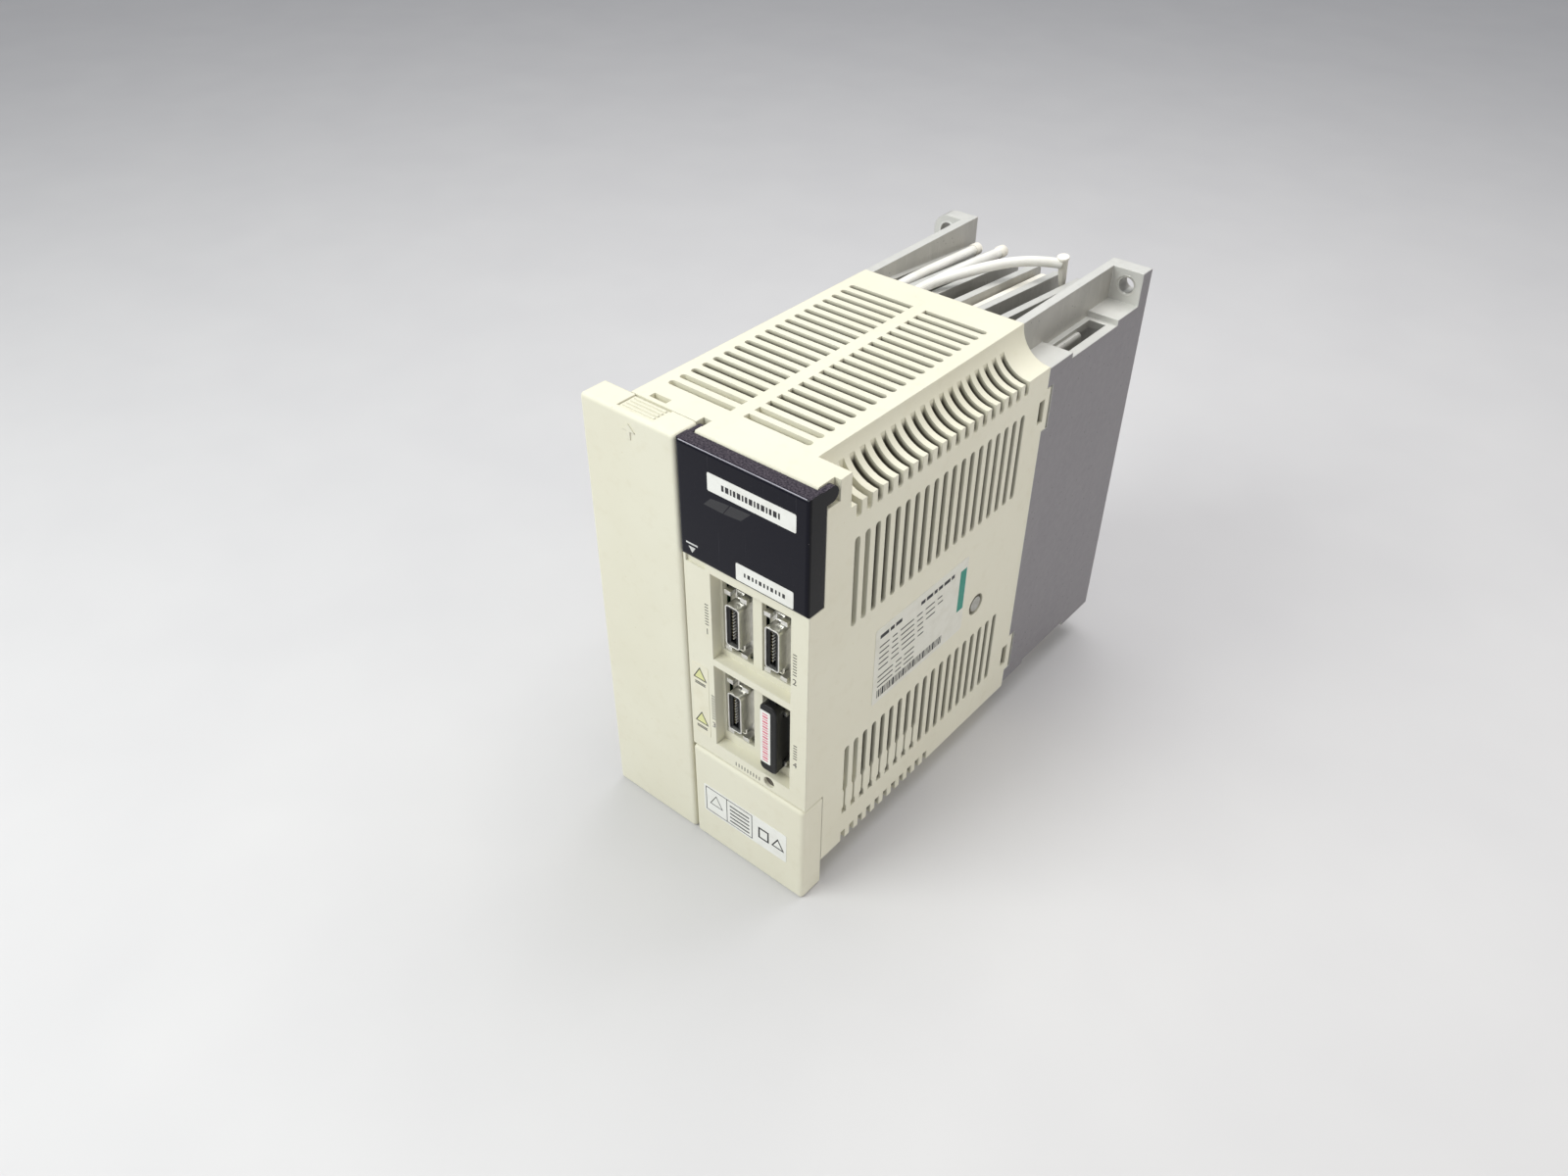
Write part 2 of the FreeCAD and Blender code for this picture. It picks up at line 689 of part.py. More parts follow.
def connector(number, x, z):
    """A twenty-way ribbon connector: metal shell with flange and ears, black insert, contact blades."""
    flange_front, board = S.panel_back + 0.8, S.control_board_front
    front = 2.5
    half_width, half_height, metal = 2.9, 8.2, 0.5
    inner_width, inner_height = half_width - metal, half_height - metal
    shell = new_body(f"connector_shell_{number}")
    pad(shell, "Y", front, flange_front - front + 0.5,
        [rounded(x - half_width, z - half_height, x + half_width, z + half_height, 1.2)])
    add(shell, (x - 5.5, flange_front, z - 13), (x + 5.5, flange_front + 0.8, z + 13))
    for side in (-1, 1):
        for edge in (-1, 1):
            low, high = sorted((side * 2.0, side * 4.6)), sorted((edge * 10.4, edge * 12))
            add(shell, (x + low[0], 4.2, z + high[0]), (x + low[1], flange_front + 0.5, z + high[1]))
    pocket(shell, "Y", front - 1, 10,
           [rounded(x - inner_width, z - inner_height, x + inner_width, z + inner_height, 0.8)])
    insert = new_body(f"connector_insert_{number}")
    pad(insert, "Y", front + 0.5, board - front - 0.5, [rounded(x - 2.38, z - 7.68, x + 2.38, z + 7.68, 0.8)])
    add(insert, (x - 5, flange_front + 0.82, z - 12.5), (x + 5, board, z + 12.5))
    remove(insert, (x - 1.2, front, z - 6.6), (x + 1.2, board - 2, z + 6.6))
    blades = []
    pitch = 1.27
    for side in (-1, 1):
        for place in range(10):
            up = z + (place - 4.5) * pitch
            low, high = sorted((side * 0.75, side * 1.2))
            blades.append(box((x + low, front + 1.2, up - 0.25), (x + high, board - 2, up + 0.25)))
    node(group(blades), f"connector_contacts_{number}")


def end_plug():
    """The termination plug on the fourth connector: a black hood, its circuit card and two latch levers."""
    x, z = CONNECTORS[3]
    hood = new_body("plug_hood")
    pad(hood, "Y", 0.4, 7.2, [rounded(x - 3.5, z - 14.7, x + 3.5, z + 14.7, 2.2)])
    soften(hood, 0.6, lambda a, b: max(a.y, b.y) < 0.41)
    pocket(hood, "Y", 2, 7, [rounded(x - 3.1, z - 8.5, x + 3.1, z + 8.5, 1.2)])
    for edge in (-1, 1):
        low, high = sorted((edge * 9.6, edge * 12.6))
        remove(hood, (x - 5, 3.6, z + low), (x + 5, 9, z + high))
        low, high = sorted((edge * 12, edge * 15))
        remove(hood, (x - 5, S.panel_floor - 0.2, z + low), (x + 5, 9, z + high))
    card = box((x - 0.4, 2, z - 6.2), (x + 0.4, 9.5, z + 6.2))
    node(card, "plug_card")
    levers = []
    for edge in (-1, 1):
        low, high = sorted((edge * 14.7, edge * 16.6))
        levers.append(box((x - 1.5, 2.5, z + low), (x + 1.5, 4.2, z + high)))
    node(group(levers), "plug_levers")


# ---------------------------------------------------------------- signal side

def control_board():
    front = S.control_board_front
    plate = box((45, front, 46), (85, front + S.board, 160))
    holes = [rod("Y", (x, front - 1, z), 4, 1.3) for x, z in BOARD_SCREWS]
    node(cut(plate, holes), "control_board")
    screws = []
    for x, z in BOARD_SCREWS:
        head = rod("Y", (x, front + S.board, z), 1.4, 2.2)
        screws.append(fuse([head, rod("Y", (x, front - 4, z), 6, 1.05)]))
    node(group(screws), "control_board_screws")


def display_unit():
    """A two-digit display and the rotary axis switch, both on the control board."""
    front = S.control_board_front
    node(box((49.6, 9.4, 139.6), (67.4, front, 152.4)), "display_module")
    x, z, r = S.dial_across, S.dial_up, S.dial_radius
    case = new_body("axis_switch_body")
    add(case, (x - 4.9, 11, z - 4.9), (x + 4.9, front, z + 4.9))
    pocket(case, "Y", 10, 3, circles=[(x, z, r - 0.6)])
    dial = new_body("axis_switch_dial")
    pad(dial, "Y", 9.4, 3.4, circles=[(x, z, r - 0.8)])
    remove(dial, (x - 0.5, 9, z - 2.4), (x + 0.5, 10.2, z + 2.4))


def charge_lamp():
    """A light pipe from the lamp hole to the diode on the control board."""
    x, z, r = S.lamp_across, S.lamp_up, S.lamp_radius
    pipe = rod("Y", (x, 2.2, z), S.control_board_front - 2.2, r - 0.05)
    node(pipe, "charge_lamp")


# ---------------------------------------------------------------- terminals

def screw(x, y, z, head, shank, reach):
    """A pan head at the named point with its shank going back along +Y."""
    return fuse([rod("Y", (x, y, z), 1.8, head), rod("Y", (x, y + 1.5, z), reach, shank)])


def terminal_strip(label, low, high, ways, along, head):
    """A barrier strip with one plate and one screw in each way; along is 0 for X or 2 for Z."""
    front, base, back = low[1], low[1] + 5, high[1]
    start, end = low[along], high[along]
    pitch = (end - start - 1.5) / ways
    body = new_body(label)
    add(body, (low[0], base, low[2]), high)
    fence_low, fence_high = [low[0], front, low[2]], [high[0], base + 1, high[2]]
    fence_high[along] = start + 1.5
    fence = add(body, fence_low, fence_high)
    repeat(body, [fence], "XYZ"[along], pitch, ways + 1)
    tags, screws, cuts = [], [], []
    for way in range(ways):
        centre = [(low[0] + high[0]) / 2, base, (low[2] + high[2]) / 2]
        centre[along] = start + 0.75 + pitch * (way + 0.5)
        x, y, z = centre
        half = min(head + 0.9, (pitch - 1.5) / 2 - 0.3)
        tag = box((x - half, y - 1, z - half), (x + half, y, z + half))
        tags.append(cut(tag, [rod("Y", (x, y - 2, z), 4, head / 2 + 0.1)]))
        screws.append(screw(x, y - 2.8, z, head, head / 2, 4.3))
        cuts.append((x, z, head / 2 + 0.05))
    pocket(body, "Y", base - 1, 6, circles=cuts)
    node(group(tags), f"{label}_plates")
    node(group(screws), f"{label}_screws")


def earth_terminals():
    plate = cut(box((6, 26, 17), (34, S.bay_back, 33)), [rod("Y", (x, 25, 25), 4, 2.05) for x in (13, 27)])
    node(plate, "earth_plate")
    screws = [fuse([rod("Y", (x, 23, 25), 3, 3.8), rod("Y", (x, 25.5, 25), 2.4, 2)]) for x in (13, 27)]
    node(group(screws), "earth_screws")


# ---------------------------------------------------------------- power side

def power_board():
    front = S.power_board_front
    corners = [(12, 21), (78, 21), (12, 147), (78, 147)]
    plate = box((8, front, 16), (82, front + S.board, 152))
    node(cut(plate, [rod("Y", (x, front - 1, z), 4, 1.6) for x, z in corners]), "power_board")
    reach = SINK_PLATE_FRONT - front - S.board
    node(group([rod("Y", (x, front + S.board, z), reach, 3) for x, z in corners]), "board_pillars")
    heads = [rod("Y", (x, front - 2, z), 2, 2.8) for x, z in corners]
    shanks = [rod("Y", (x, front - 0.5, z), 2, 1.5) for x, z in corners]
    node(group([fuse(pair) for pair in zip(heads, shanks)]), "power_board_screws")


def power_devices():
    """Modules bolted flat on the heat sink plate, and the tall parts on the power board."""
    board, plate = S.power_board_front, SINK_PLATE_FRONT
    for label, low, high in (("power_module", (16, 86), (74, 130)), ("rectifier_module", (22, 40), (58, 66))):
        body = new_body(label)
        add(body, (low[0], plate - 9, low[1]), (high[0], plate, high[1]))
        for z in (low[1] + 2, high[1] - 3):
            pin = add(body, (low[0] + 4, board + S.board, z), (low[0] + 5, plate - 8, z + 1))
            repeat(body, [pin], "X", 5, 6)
    for number, x in ((1, 28), (2, 62)):
        body = new_body(f"bus_capacitor_{number}")
        pad(body, "Y", board - 46, 46, circles=[(x, 108, 15)])
    node(box((14, board - 24, 40), (42, board, 64)), "switching_transformer")
    node(box((52, board - 20, 38), (72, board, 64)), "brake_relay")
    for number, x in ((1, 18), (2, 56)):
        block = box((x, board - 15, 72), (x + 16, board, 84))
        node(cut(block, [rod("Z", (x + 8, board - 8, 71), 14, 3.5)]), f"current_sensor_{number}")


def board_link():
    """The flat cable between the two boards and the two headers that it plugs into."""
    near, far = S.control_board_front + S.board, S.power_board_front
    body = new_body("board_link_cable")
    y0, y1, z0, z1, t = near + 6, far - 6, 138, 140, 1
    outline = [
        (y0, z0), (y0 + 25, z0), (y1 - 25, z1), (y1, z1),
        (y1, z1 + t), (y1 - 25, z1 + t), (y0 + 25, z0 + t), (y0, z0 + t),
    ]
    pad(body, "X", 50, 26, [outline])
    headers = [box((48, near, 135), (78, near + 6, 141)), box((48, far - 6, 137), (78, far, 143))]
    node(group(headers), "board_link_headers")


# ---------------------------------------------------------------- fan

def fan():
    half, foot, top = S.fan_size / 2, S.fan_foot, FAN_TOP
    x, y, hub = MIDDLE, S.fan_middle, S.hub_radius
    frame = new_body("fan_frame")
    add(frame, (x - half, y - half, foot), (x + half, y + half, top))
    pocket(frame, "Z", foot - 1, S.fan_thickness + 2, circles=[(x, y, S.fan_hole)])
    pad(frame, "Z", top - 2.5, 2.5, circles=[(x, y, hub)])
    for dx, dy in ((1, 0), (-1, 0), (0, 1), (0, -1)):
        xs, ys = sorted((dx * 9, dx * 24.5)), sorted((dy * 9, dy * 24.5))
        grow = (0 if dx else 1.2), (0 if dy else 1.2)
        low = x + xs[0] - grow[0], y + ys[0] - grow[1], top - 2.5
        add(frame, low, (x + xs[1] + grow[0], y + ys[1] + grow[1], top))
    pocket(frame, "Z", top - 4, 3.5, circles=[(x, y, 1.5 + S.running_gap)])
    spots = [(x + a * S.fin_pitch, y + b * S.fin_pitch) for a in (-2, 2) for b in (-2, 2)]
    pocket(frame, "Z", foot - 1, S.fan_thickness + 2, circles=[(a, b, 1.8) for a, b in spots])
    rotor_parts = [rod("Z", (x, y, foot + 1.5), 10.5, hub - 0.5), rod("Z", (x, y, foot + 11), 3.2, 1.5)]
    blades = 7
    for number in range(blades):
        blade = doc.addObject("Part::Box", "Blade")
        blade.Length, blade.Width, blade.Height = 13.5, 1.1, 10.5
        spin = FreeCAD.Rotation(FreeCAD.Vector(0, 0, 1), 360 * number / blades)
        tilt = FreeCAD.Rotation(FreeCAD.Vector(1, 0, 0), 30)
        blade.Placement = FreeCAD.Placement(spin.multVec(FreeCAD.Vector(9, 2.6, 0)), spin * tilt)
        bind(blade, "Placement.Base.x", x + blade.Placement.Base.x)
        bind(blade, "Placement.Base.y", y + blade.Placement.Base.y)
        bind(blade, "Placement.Base.z", foot + 2)
        rotor_parts.append(blade)
    node(fuse(rotor_parts), "fan_rotor")
    heads = [rod("Z", (a, b, foot - 1.6), 1.6, 2.9) for a, b in spots]
    shanks = [rod("Z", (a, b, foot - 0.5), 23, 1.35) for a, b in spots]
    node(group([fuse(pair) for pair in zip(heads, shanks)]), "fan_screws")


# ---------------------------------------------------------------- resistor and leads

def regen_resistor():
    """A long round-topped resistor bar lying between two fins; its top slopes down with theirs."""
    x, half = MIDDLE + S.fin_pitch / 2, 3
    front, back, foot, front_top, back_top = S.case_back + 3, 190, 130, 161, 156
    body = new_body("brake_resistor")
    pad(body, "X", x - half, 2 * half, [[(front, foot), (back, foot), (back, back_top), (front, front_top)]])
    soften(body, half - 0.2, lambda a, b: min(a.z, b.z) > back_top - 0.1 and abs(a.y - b.y) > 1)


def tube(points, radius):
    """A round tube along straight runs joined by tangent arcs."""
    points = [FreeCAD.Vector(*point) for point in points]
    edges, start = [], points[0]
    for before, here, after in zip(points, points[1:], points[2:]):
        into, out = (here - before).normalize(), (after - here).normalize()
        turn = into.getAngle(out)
        short = min((here - before).Length, (after - here).Length)
        back = 0.45 * short
        bend = back / math.tan(turn / 2)
        a, b = here - into * back, here + out * back
        inward = (out - into).normalize()
        middle = here + inward * (bend / math.cos(turn / 2) - bend)
        edges += [Part.LineSegment(start, a).toShape(), Part.Arc(a, middle, b).toShape()]
        start = b
        print(f"  bend radius {bend:.1f}")
    edges.append(Part.LineSegment(start, points[-1]).toShape())
    path = Part.Wire(edges)
    disc = Part.Face(Part.Wire(Part.Circle(points[0], points[1] - points[0], radius).toShape()))
    solid = path.makePipe(disc)
    print(f"  tube volume {solid.Volume:.1f}, section times length {math.pi * radius ** 2 * path.Length:.1f}")
    return solid


def lead(label, points, radius):
    thing = doc.addObject("Part::Feature", label)
    thing.Shape = tube(points, radius)
    node(thing, label)


def leads():
    """Three white leads from the case to the tops of the fins, and the caps on the first two."""
    radius = 1.9
    for label, points in LEADS.items():
        lead(label, points, radius)
    caps = []
    for label in ("resistor_lead_1", "resistor_lead_2"):
        x, y, z = LEADS[label][-1]
        before = LEADS[label][-2]
        way = (FreeCAD.Vector(x, y, z) - FreeCAD.Vector(*before)).normalize()
        turn = FreeCAD.Rotation(FreeCAD.Vector(0, 0, 1), way)
        cap = doc.addObject("Part::Cylinder", "Cap")
        bind(cap, "Radius", radius + 0.5)
        bind(cap, "Height", 4)
        cap.Placement = FreeCAD.Placement(FreeCAD.Vector(x, y, z), turn)
        caps.append(cap)
    node(group(caps), "lead_caps")


def sleeve():
    """The tapered sleeve that takes the third lead down between two fins."""
    cone = doc.addObject("Part::Cone", "Sleeve")
    top, foot = FreeCAD.Vector(59.5, 184.6, 167.4), FreeCAD.Vector(59.5, 187, 155)
    bind(cone, "Radius1", 2.3)
    bind(cone, "Radius2", 1.2)
    bind(cone, "Height", (foot - top).Length)
    cone.Placement = FreeCAD.Placement(top, FreeCAD.Rotation(FreeCAD.Vector(0, 0, 1), foot - top))
    node(group([cone]), "lead_sleeve")


def lead_header():
    node(box((17, S.power_board_front + S.board, 143), (38, 109, 151)), "lead_header")


def case_screws():
    depth, up = S.side_screw_depth, S.side_screw_up
    right, left = S.width - 1.4, size(1.4)
    pieces = [
        fuse([rod("X", (right, depth, up), 1.2, 3), rod("X", (right - 7, depth, up), 7.5, 1.2)]),
        fuse([rod("X", (left - 1.2, depth, up), 1.2, 3), rod("X", (left - 0.5, depth, up), 7.5, 1.2)]),
    ]
    node(group(pieces), "case_screws")


# ---------------------------------------------------------------- build, check, write

def build():
    heat_sink()
    main_case()
    case_screws()
    terminal_cover()
    cover_latch()
    lower_cover()
    display_window()
    for number, (x, z) in enumerate(CONNECTORS, start=1):
        connector(number, x, z)
    end_plug()
    control_board()
    display_unit()
    charge_lamp()
    terminal_strip("main_terminal_block", (9, 15, 50), (35, S.bay_back, 148), 8, 2, 3.6)
    terminal_strip("control_terminal_block", (46, 17, 17), (84, S.bay_back, 38), 5, 0, 2.2)
    earth_terminals()
    power_board()
    power_devices()
    board_link()
    fan()
    regen_resistor()
    lead_header()
    leads()
    sleeve()
    doc.recompute()


def check():
    """Stops if a feature failed or a piece is empty or broken."""
    for thing in doc.Objects:
        if "Invalid" in thing.State or "Error" in thing.State:
            raise RuntimeError(f"{thing.Label} ({thing.Name}) did not compute: {thing.State}")
    for piece in nodes:
        if piece.Shape.isNull() or not piece.Shape.isValid():
            raise RuntimeError(f"{piece.Label} has no valid shape")


def write():
    os.makedirs("parts", exist_ok=True)
    for piece in nodes:
        piece.Shape.exportStep(f"parts/{piece.Label}.step")
        print(f"{piece.Label}: {len(piece.Shape.Solids)} solids, {piece.Shape.Volume:.0f} mm3")


build()
check()
write()
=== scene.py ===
import json
import math

import bmesh
import bpy
from mathutils import Matrix, Vector

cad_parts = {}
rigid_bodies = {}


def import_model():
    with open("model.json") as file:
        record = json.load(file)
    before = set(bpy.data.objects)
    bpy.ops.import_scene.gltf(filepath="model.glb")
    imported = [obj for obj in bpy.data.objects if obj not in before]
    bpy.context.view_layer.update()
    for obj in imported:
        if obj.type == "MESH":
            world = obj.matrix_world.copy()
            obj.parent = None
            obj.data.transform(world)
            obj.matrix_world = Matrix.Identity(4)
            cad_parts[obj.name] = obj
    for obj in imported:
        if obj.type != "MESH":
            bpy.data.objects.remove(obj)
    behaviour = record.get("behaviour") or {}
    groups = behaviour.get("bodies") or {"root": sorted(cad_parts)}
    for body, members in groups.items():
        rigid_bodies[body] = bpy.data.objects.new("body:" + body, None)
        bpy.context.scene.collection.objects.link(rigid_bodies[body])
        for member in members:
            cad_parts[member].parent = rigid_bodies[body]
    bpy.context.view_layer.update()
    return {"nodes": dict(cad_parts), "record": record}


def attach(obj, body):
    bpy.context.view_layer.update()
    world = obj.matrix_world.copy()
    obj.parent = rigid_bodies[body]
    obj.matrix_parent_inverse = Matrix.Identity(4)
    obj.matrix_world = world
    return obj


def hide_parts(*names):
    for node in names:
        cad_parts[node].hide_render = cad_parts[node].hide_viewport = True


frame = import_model()
nodes = frame["nodes"]

MM = 0.001
WIDTH, DEPTH, HEIGHT = 90, 195, 168  # the drive, mm
STICKER = 0.12  # thickness of a sticker, mm
INK = 0.03  # thickness of printed ink, mm
BARRIER = 1.5  # thickness of the wall between two terminals, mm


def at(across, back, up):
    """A point given in millimetres from the front lower left corner of the drive, in the row frame."""
    return Vector((across - WIDTH / 2, back - DEPTH / 2, up)) * MM


def terminal_middles(start, length, ways):
    """The middle of each terminal along a block that has a barrier on either side of every way."""
    pitch = (length - BARRIER) / ways
    return [start + BARRIER / 2 + pitch * (way + 0.5) for way in range(ways)]


MAIN_TERMINALS = terminal_middles(50, 98, 8)  # heights, counted from the foot
CONTROL_TERMINALS = terminal_middles(46, 38, 5)  # distances across, counted from the left


def rgb(red, green, blue):
    """A linear colour from screen values of 0 to 255."""
    def linear(value):
        value /= 255
        return value / 12.92 if value <= 0.04045 else ((value + 0.055) / 1.055) ** 2.4
    return linear(red), linear(green), linear(blue), 1.0


# ---------------------------------------------------------------- camera, floor and light

CAMERA_PLACE = (0.212538, -0.307872, 0.351323)
CAMERA_ANGLES = (39.965, 38.338, 0.351)  # azimuth from the front, elevation and roll, degrees
CAMERA_LENS = 28.197  # mm, on a sensor 36 mm wide


def add_camera():
    """Looks down on the drive from in front of its right side."""
    azimuth, elevation, roll = (math.radians(angle) for angle in CAMERA_ANGLES)
    level = math.cos(elevation)
    back = Vector((math.sin(azimuth) * level, -math.cos(azimuth) * level, math.sin(elevation)))
    right = (-back).cross(Vector((0, 0, 1))).normalized()
    up = back.cross(right)
    across = right * math.cos(roll) + up * math.sin(roll)
    upright = up * math.cos(roll) - right * math.sin(roll)
    lens = bpy.data.cameras.new("camera")
    lens.sensor_fit, lens.sensor_width, lens.lens = "HORIZONTAL", 36, CAMERA_LENS
    lens.clip_start = 0.01
    camera = bpy.data.objects.new("camera", lens)
    turn = Matrix((across, upright, back)).transposed().to_4x4()
    camera.matrix_world = Matrix.Translation(CAMERA_PLACE) @ turn
    bpy.context.scene.collection.objects.link(camera)
    bpy.context.scene.camera = camera


def add_light(name, place, size, watts, colour, target=(0, 0, 0.08)):
    """A soft square lamp that faces the drive."""
    lamp = bpy.data.lights.new(name, "AREA")
    lamp.size, lamp.energy, lamp.color = size, watts, colour
    holder = bpy.data.objects.new(name, lamp)
    holder.location = place
    holder.rotation_euler = (Vector(target) - Vector(place)).to_track_quat("-Z", "Y").to_euler()
    bpy.context.scene.collection.objects.link(holder)


def add_studio():
    """A pale sky, three lamps and a plain pale floor."""
    scene = bpy.context.scene
    scene.view_settings.view_transform = "Standard"
    scene.world = bpy.data.worlds.new("studio")
    scene.world.use_nodes = True
    sky = scene.world.node_tree.nodes["Background"]
    sky.inputs["Color"].default_value = (0.9, 0.92, 0.96, 1.0)
    sky.inputs["Strength"].default_value = 0.45
    add_light("key", (-0.35, -0.75, 0.75), 0.6, 7.0, (0.97, 1.0, 0.96))
    add_light("overhead", (0.0, 0.25, 0.95), 0.7, 5.2, (1.0, 0.99, 0.97))
    add_light("fill", (0.85, 0.05, 0.45), 0.6, 1.5, (1.0, 0.93, 0.8))
    half = 3
    floor = mesh_piece(
        "floor", lambda mesh: bmesh.ops.create_grid(mesh, x_segments=1, y_segments=1, size=half))
    look = Look("floor", rgb(214, 213, 214), 0.75)
    look.tint(rgb(206, 205, 207), look.noise(60))
    paint(floor, look.finish())


# ---------------------------------------------------------------- materials

class Look:
    """A material in layers: colours laid over a base, a roughness that varies, and fine relief."""

    def __init__(self, name, colour, roughness, metallic=0.0, fixed=()):
        self.material = bpy.data.materials.new(name)
        self.material.use_nodes = True
        self.tree = self.material.node_tree
        self.shader = self.tree.nodes["Principled BSDF"]
        self.shader.inputs["Roughness"].default_value = roughness
        self.shader.inputs["Metallic"].default_value = metallic
        for socket, value in dict(fixed).items():
            self.shader.inputs[socket].default_value = value
        self.base = colour
        self.place = self.node("ShaderNodeTexCoord").outputs["Object"]
        self.normal = None

    def node(self, kind, inputs=(), **settings):
        made = self.tree.nodes.new(kind)
        for setting, value in settings.items():
            setattr(made, setting, value)
        for socket, value in dict(inputs).items():
            if isinstance(value, bpy.types.NodeSocket):
                self.tree.links.new(value, made.inputs[socket])
            else:
                made.inputs[socket].default_value = value
        return made

    def stretched(self, stretch):
        """The place on the object in millimetres, divided by a length for each axis."""
        scale = [1 / (MM * length) for length in stretch]
        return self.node("ShaderNodeMapping", {"Vector": self.place, "Scale": scale}).outputs[0]

    def noise(self, length, detail=2.0, stretch=(1, 1, 1), seed=0.0):
        """Smooth noise from 0 to 1 whose blotches are about length millimetres across."""
        where = self.stretched([length * factor for factor in stretch])
        inputs = {"Vector": where, "W": seed, "Scale": 1.0, "Detail": detail}
        return self.node("ShaderNodeTexNoise", inputs, noise_dimensions="4D").outputs["Fac"]

    def specks(self, length, size):
        """1 in small spots scattered about length millimetres apart, 0 elsewhere."""
        cells = self.node("ShaderNodeTexVoronoi", {"Vector": self.stretched([length] * 3), "Scale": 1.0})
        return self.range(cells.outputs["Distance"], size, size * 0.6)

    def range(self, value, low, high, to_low=0.0, to_high=1.0):
        inputs = {"Value": value, "From Min": low, "From Max": high, "To Min": to_low, "To Max": to_high}
        return self.node("ShaderNodeMapRange", inputs).outputs["Result"]

    def math(self, operation, *values):
        made = self.node("ShaderNodeMath", dict(enumerate(values)), operation=operation)
        return made.outputs[0]

    def edges(self, radius):
        """1 along outside and inside edges, 0 on flats."""
        rounded = self.node("ShaderNodeBevel", {"Radius": radius * MM}, samples=4).outputs[0]
        flat = self.node("ShaderNodeNewGeometry").outputs["Normal"]
        likeness = self.node("ShaderNodeVectorMath", {0: rounded, 1: flat}, operation="DOT_PRODUCT")
        return self.range(likeness.outputs["Value"], 0.995, 0.85)

    def facing(self, axis, low, high):
        """1 on surfaces that face along an axis, either way."""
        normal = self.node("ShaderNodeNewGeometry").outputs["Normal"]
        parts = self.node("ShaderNodeSeparateXYZ", {0: normal})
        return self.range(self.math("ABSOLUTE", parts.outputs[axis]), low, high)

    def inside_case(self):
        """1 on the inner faces of the case, fading to 0 through the thickness of its walls; it places
        painted shade.
        """
        half_width, half_height, cove = WIDTH / 2, HEIGHT / 2, 12
        front, rear = 30.3 - DEPTH / 2, 127 - DEPTH / 2  # between the terminal bay and the heat sink
        start, end, fade = 0.4, 1.6, 0.6
        parts = self.node("ShaderNodeSeparateXYZ", {0: self.stretched([1] * 3)})
        depth = parts.outputs["Y"]
        aside = self.math("ABSOLUTE", parts.outputs["X"])
        above = self.math("ABSOLUTE", self.math("SUBTRACT", parts.outputs["Z"], half_height))
        corner = self.math("SQRT", self.math(
            "ADD", self.math("POWER", self.math("SUBTRACT", aside, half_width), 2),
            self.math("POWER", self.math("SUBTRACT", above, half_height), 2)))
        masks = (
            self.range(aside, half_width - start, half_width - end),
            self.range(above, half_height - start, half_height - end),
            self.range(corner, cove + start, cove + end),
            self.range(depth, front, front + fade),
            self.range(depth, rear, rear - fade),
        )
        inside = masks[0]
        for mask in masks[1:]:
            inside = self.math("MULTIPLY", inside, mask)
        return inside

    def outer_side(self):
        """1 on the two outer sides of the drive."""
        parts = self.node("ShaderNodeSeparateXYZ", {0: self.stretched([1] * 3)})
        return self.range(self.math("ABSOLUTE", parts.outputs["X"]), WIDTH / 2 - 0.8, WIDTH / 2 - 0.3)

    def tint(self, colour, mask, strength=1.0):
        """Lays a colour over the ones below it where the mask is 1."""
        share = self.math("MULTIPLY", mask, strength)
        mixed = self.node("ShaderNodeMix", {0: share, 6: self.base, 7: colour}, data_type="RGBA")
        self.base = mixed.outputs[2]

    def gloss(self, mask, low, high):
        """Roughness low where the mask is 0 and high where it is 1."""
        self.tree.links.new(self.range(mask, 0, 1, low, high), self.shader.inputs["Roughness"])

    def round_edges(self, radius):
        """Softens the shading across edges by a radius in millimetres."""
        self.normal = self.node("ShaderNodeBevel", {"Radius": radius * MM}, samples=4).outputs[0]

    def relief(self, height, depth):
        """Raises the surface by up to depth millimetres."""
        inputs = {"Height": height, "Distance": depth * MM, "Strength": 1.0}
        if self.normal:
            inputs["Normal"] = self.normal
        self.normal = self.node("ShaderNodeBump", inputs).outputs[0]

    def finish(self):
        """Links up the layers. Every look has at least one tint."""
        self.tree.links.new(self.base, self.shader.inputs["Base Color"])
        if self.normal:
            self.tree.links.new(self.normal, self.shader.inputs["Normal"])
        return self.material


def moulded(name, colour, stain, roughness, edge=0.5, grain=0.012):
    """Moulded plastic with a spark-eroded grain, faint stains and slightly rubbed edges."""
    look = Look(name, colour, roughness)
    look.tint(stain, look.range(look.noise(38, 3), 0.42, 0.72), 0.16)
    look.tint(stain, look.range(look.noise(4, 4, seed=3), 0.55, 0.8), 0.18)
    look.tint(stain, look.specks(6, 0.06), 0.4)
    look.gloss(look.noise(9, 3, seed=5), roughness - 0.07, roughness + 0.1)
    look.round_edges(edge)
    look.relief(look.noise(0.35, 2, seed=7), grain)
    return look


def ivory():
    """The case plastic, with painted shade on the inner faces and painted highlights along the edges."""
    look = moulded("ivory_case", rgb(229, 226, 207), rgb(205, 196, 165), 0.46)
    # painted highlight: the edges are tinted lighter
    look.tint(rgb(238, 236, 222), look.edges(0.4), 0.45)
    # painted shade: the inner faces of the case, in the recesses, are darkened
    look.tint(rgb(70, 64, 53), look.inside_case(), 0.92)
    return look.finish()


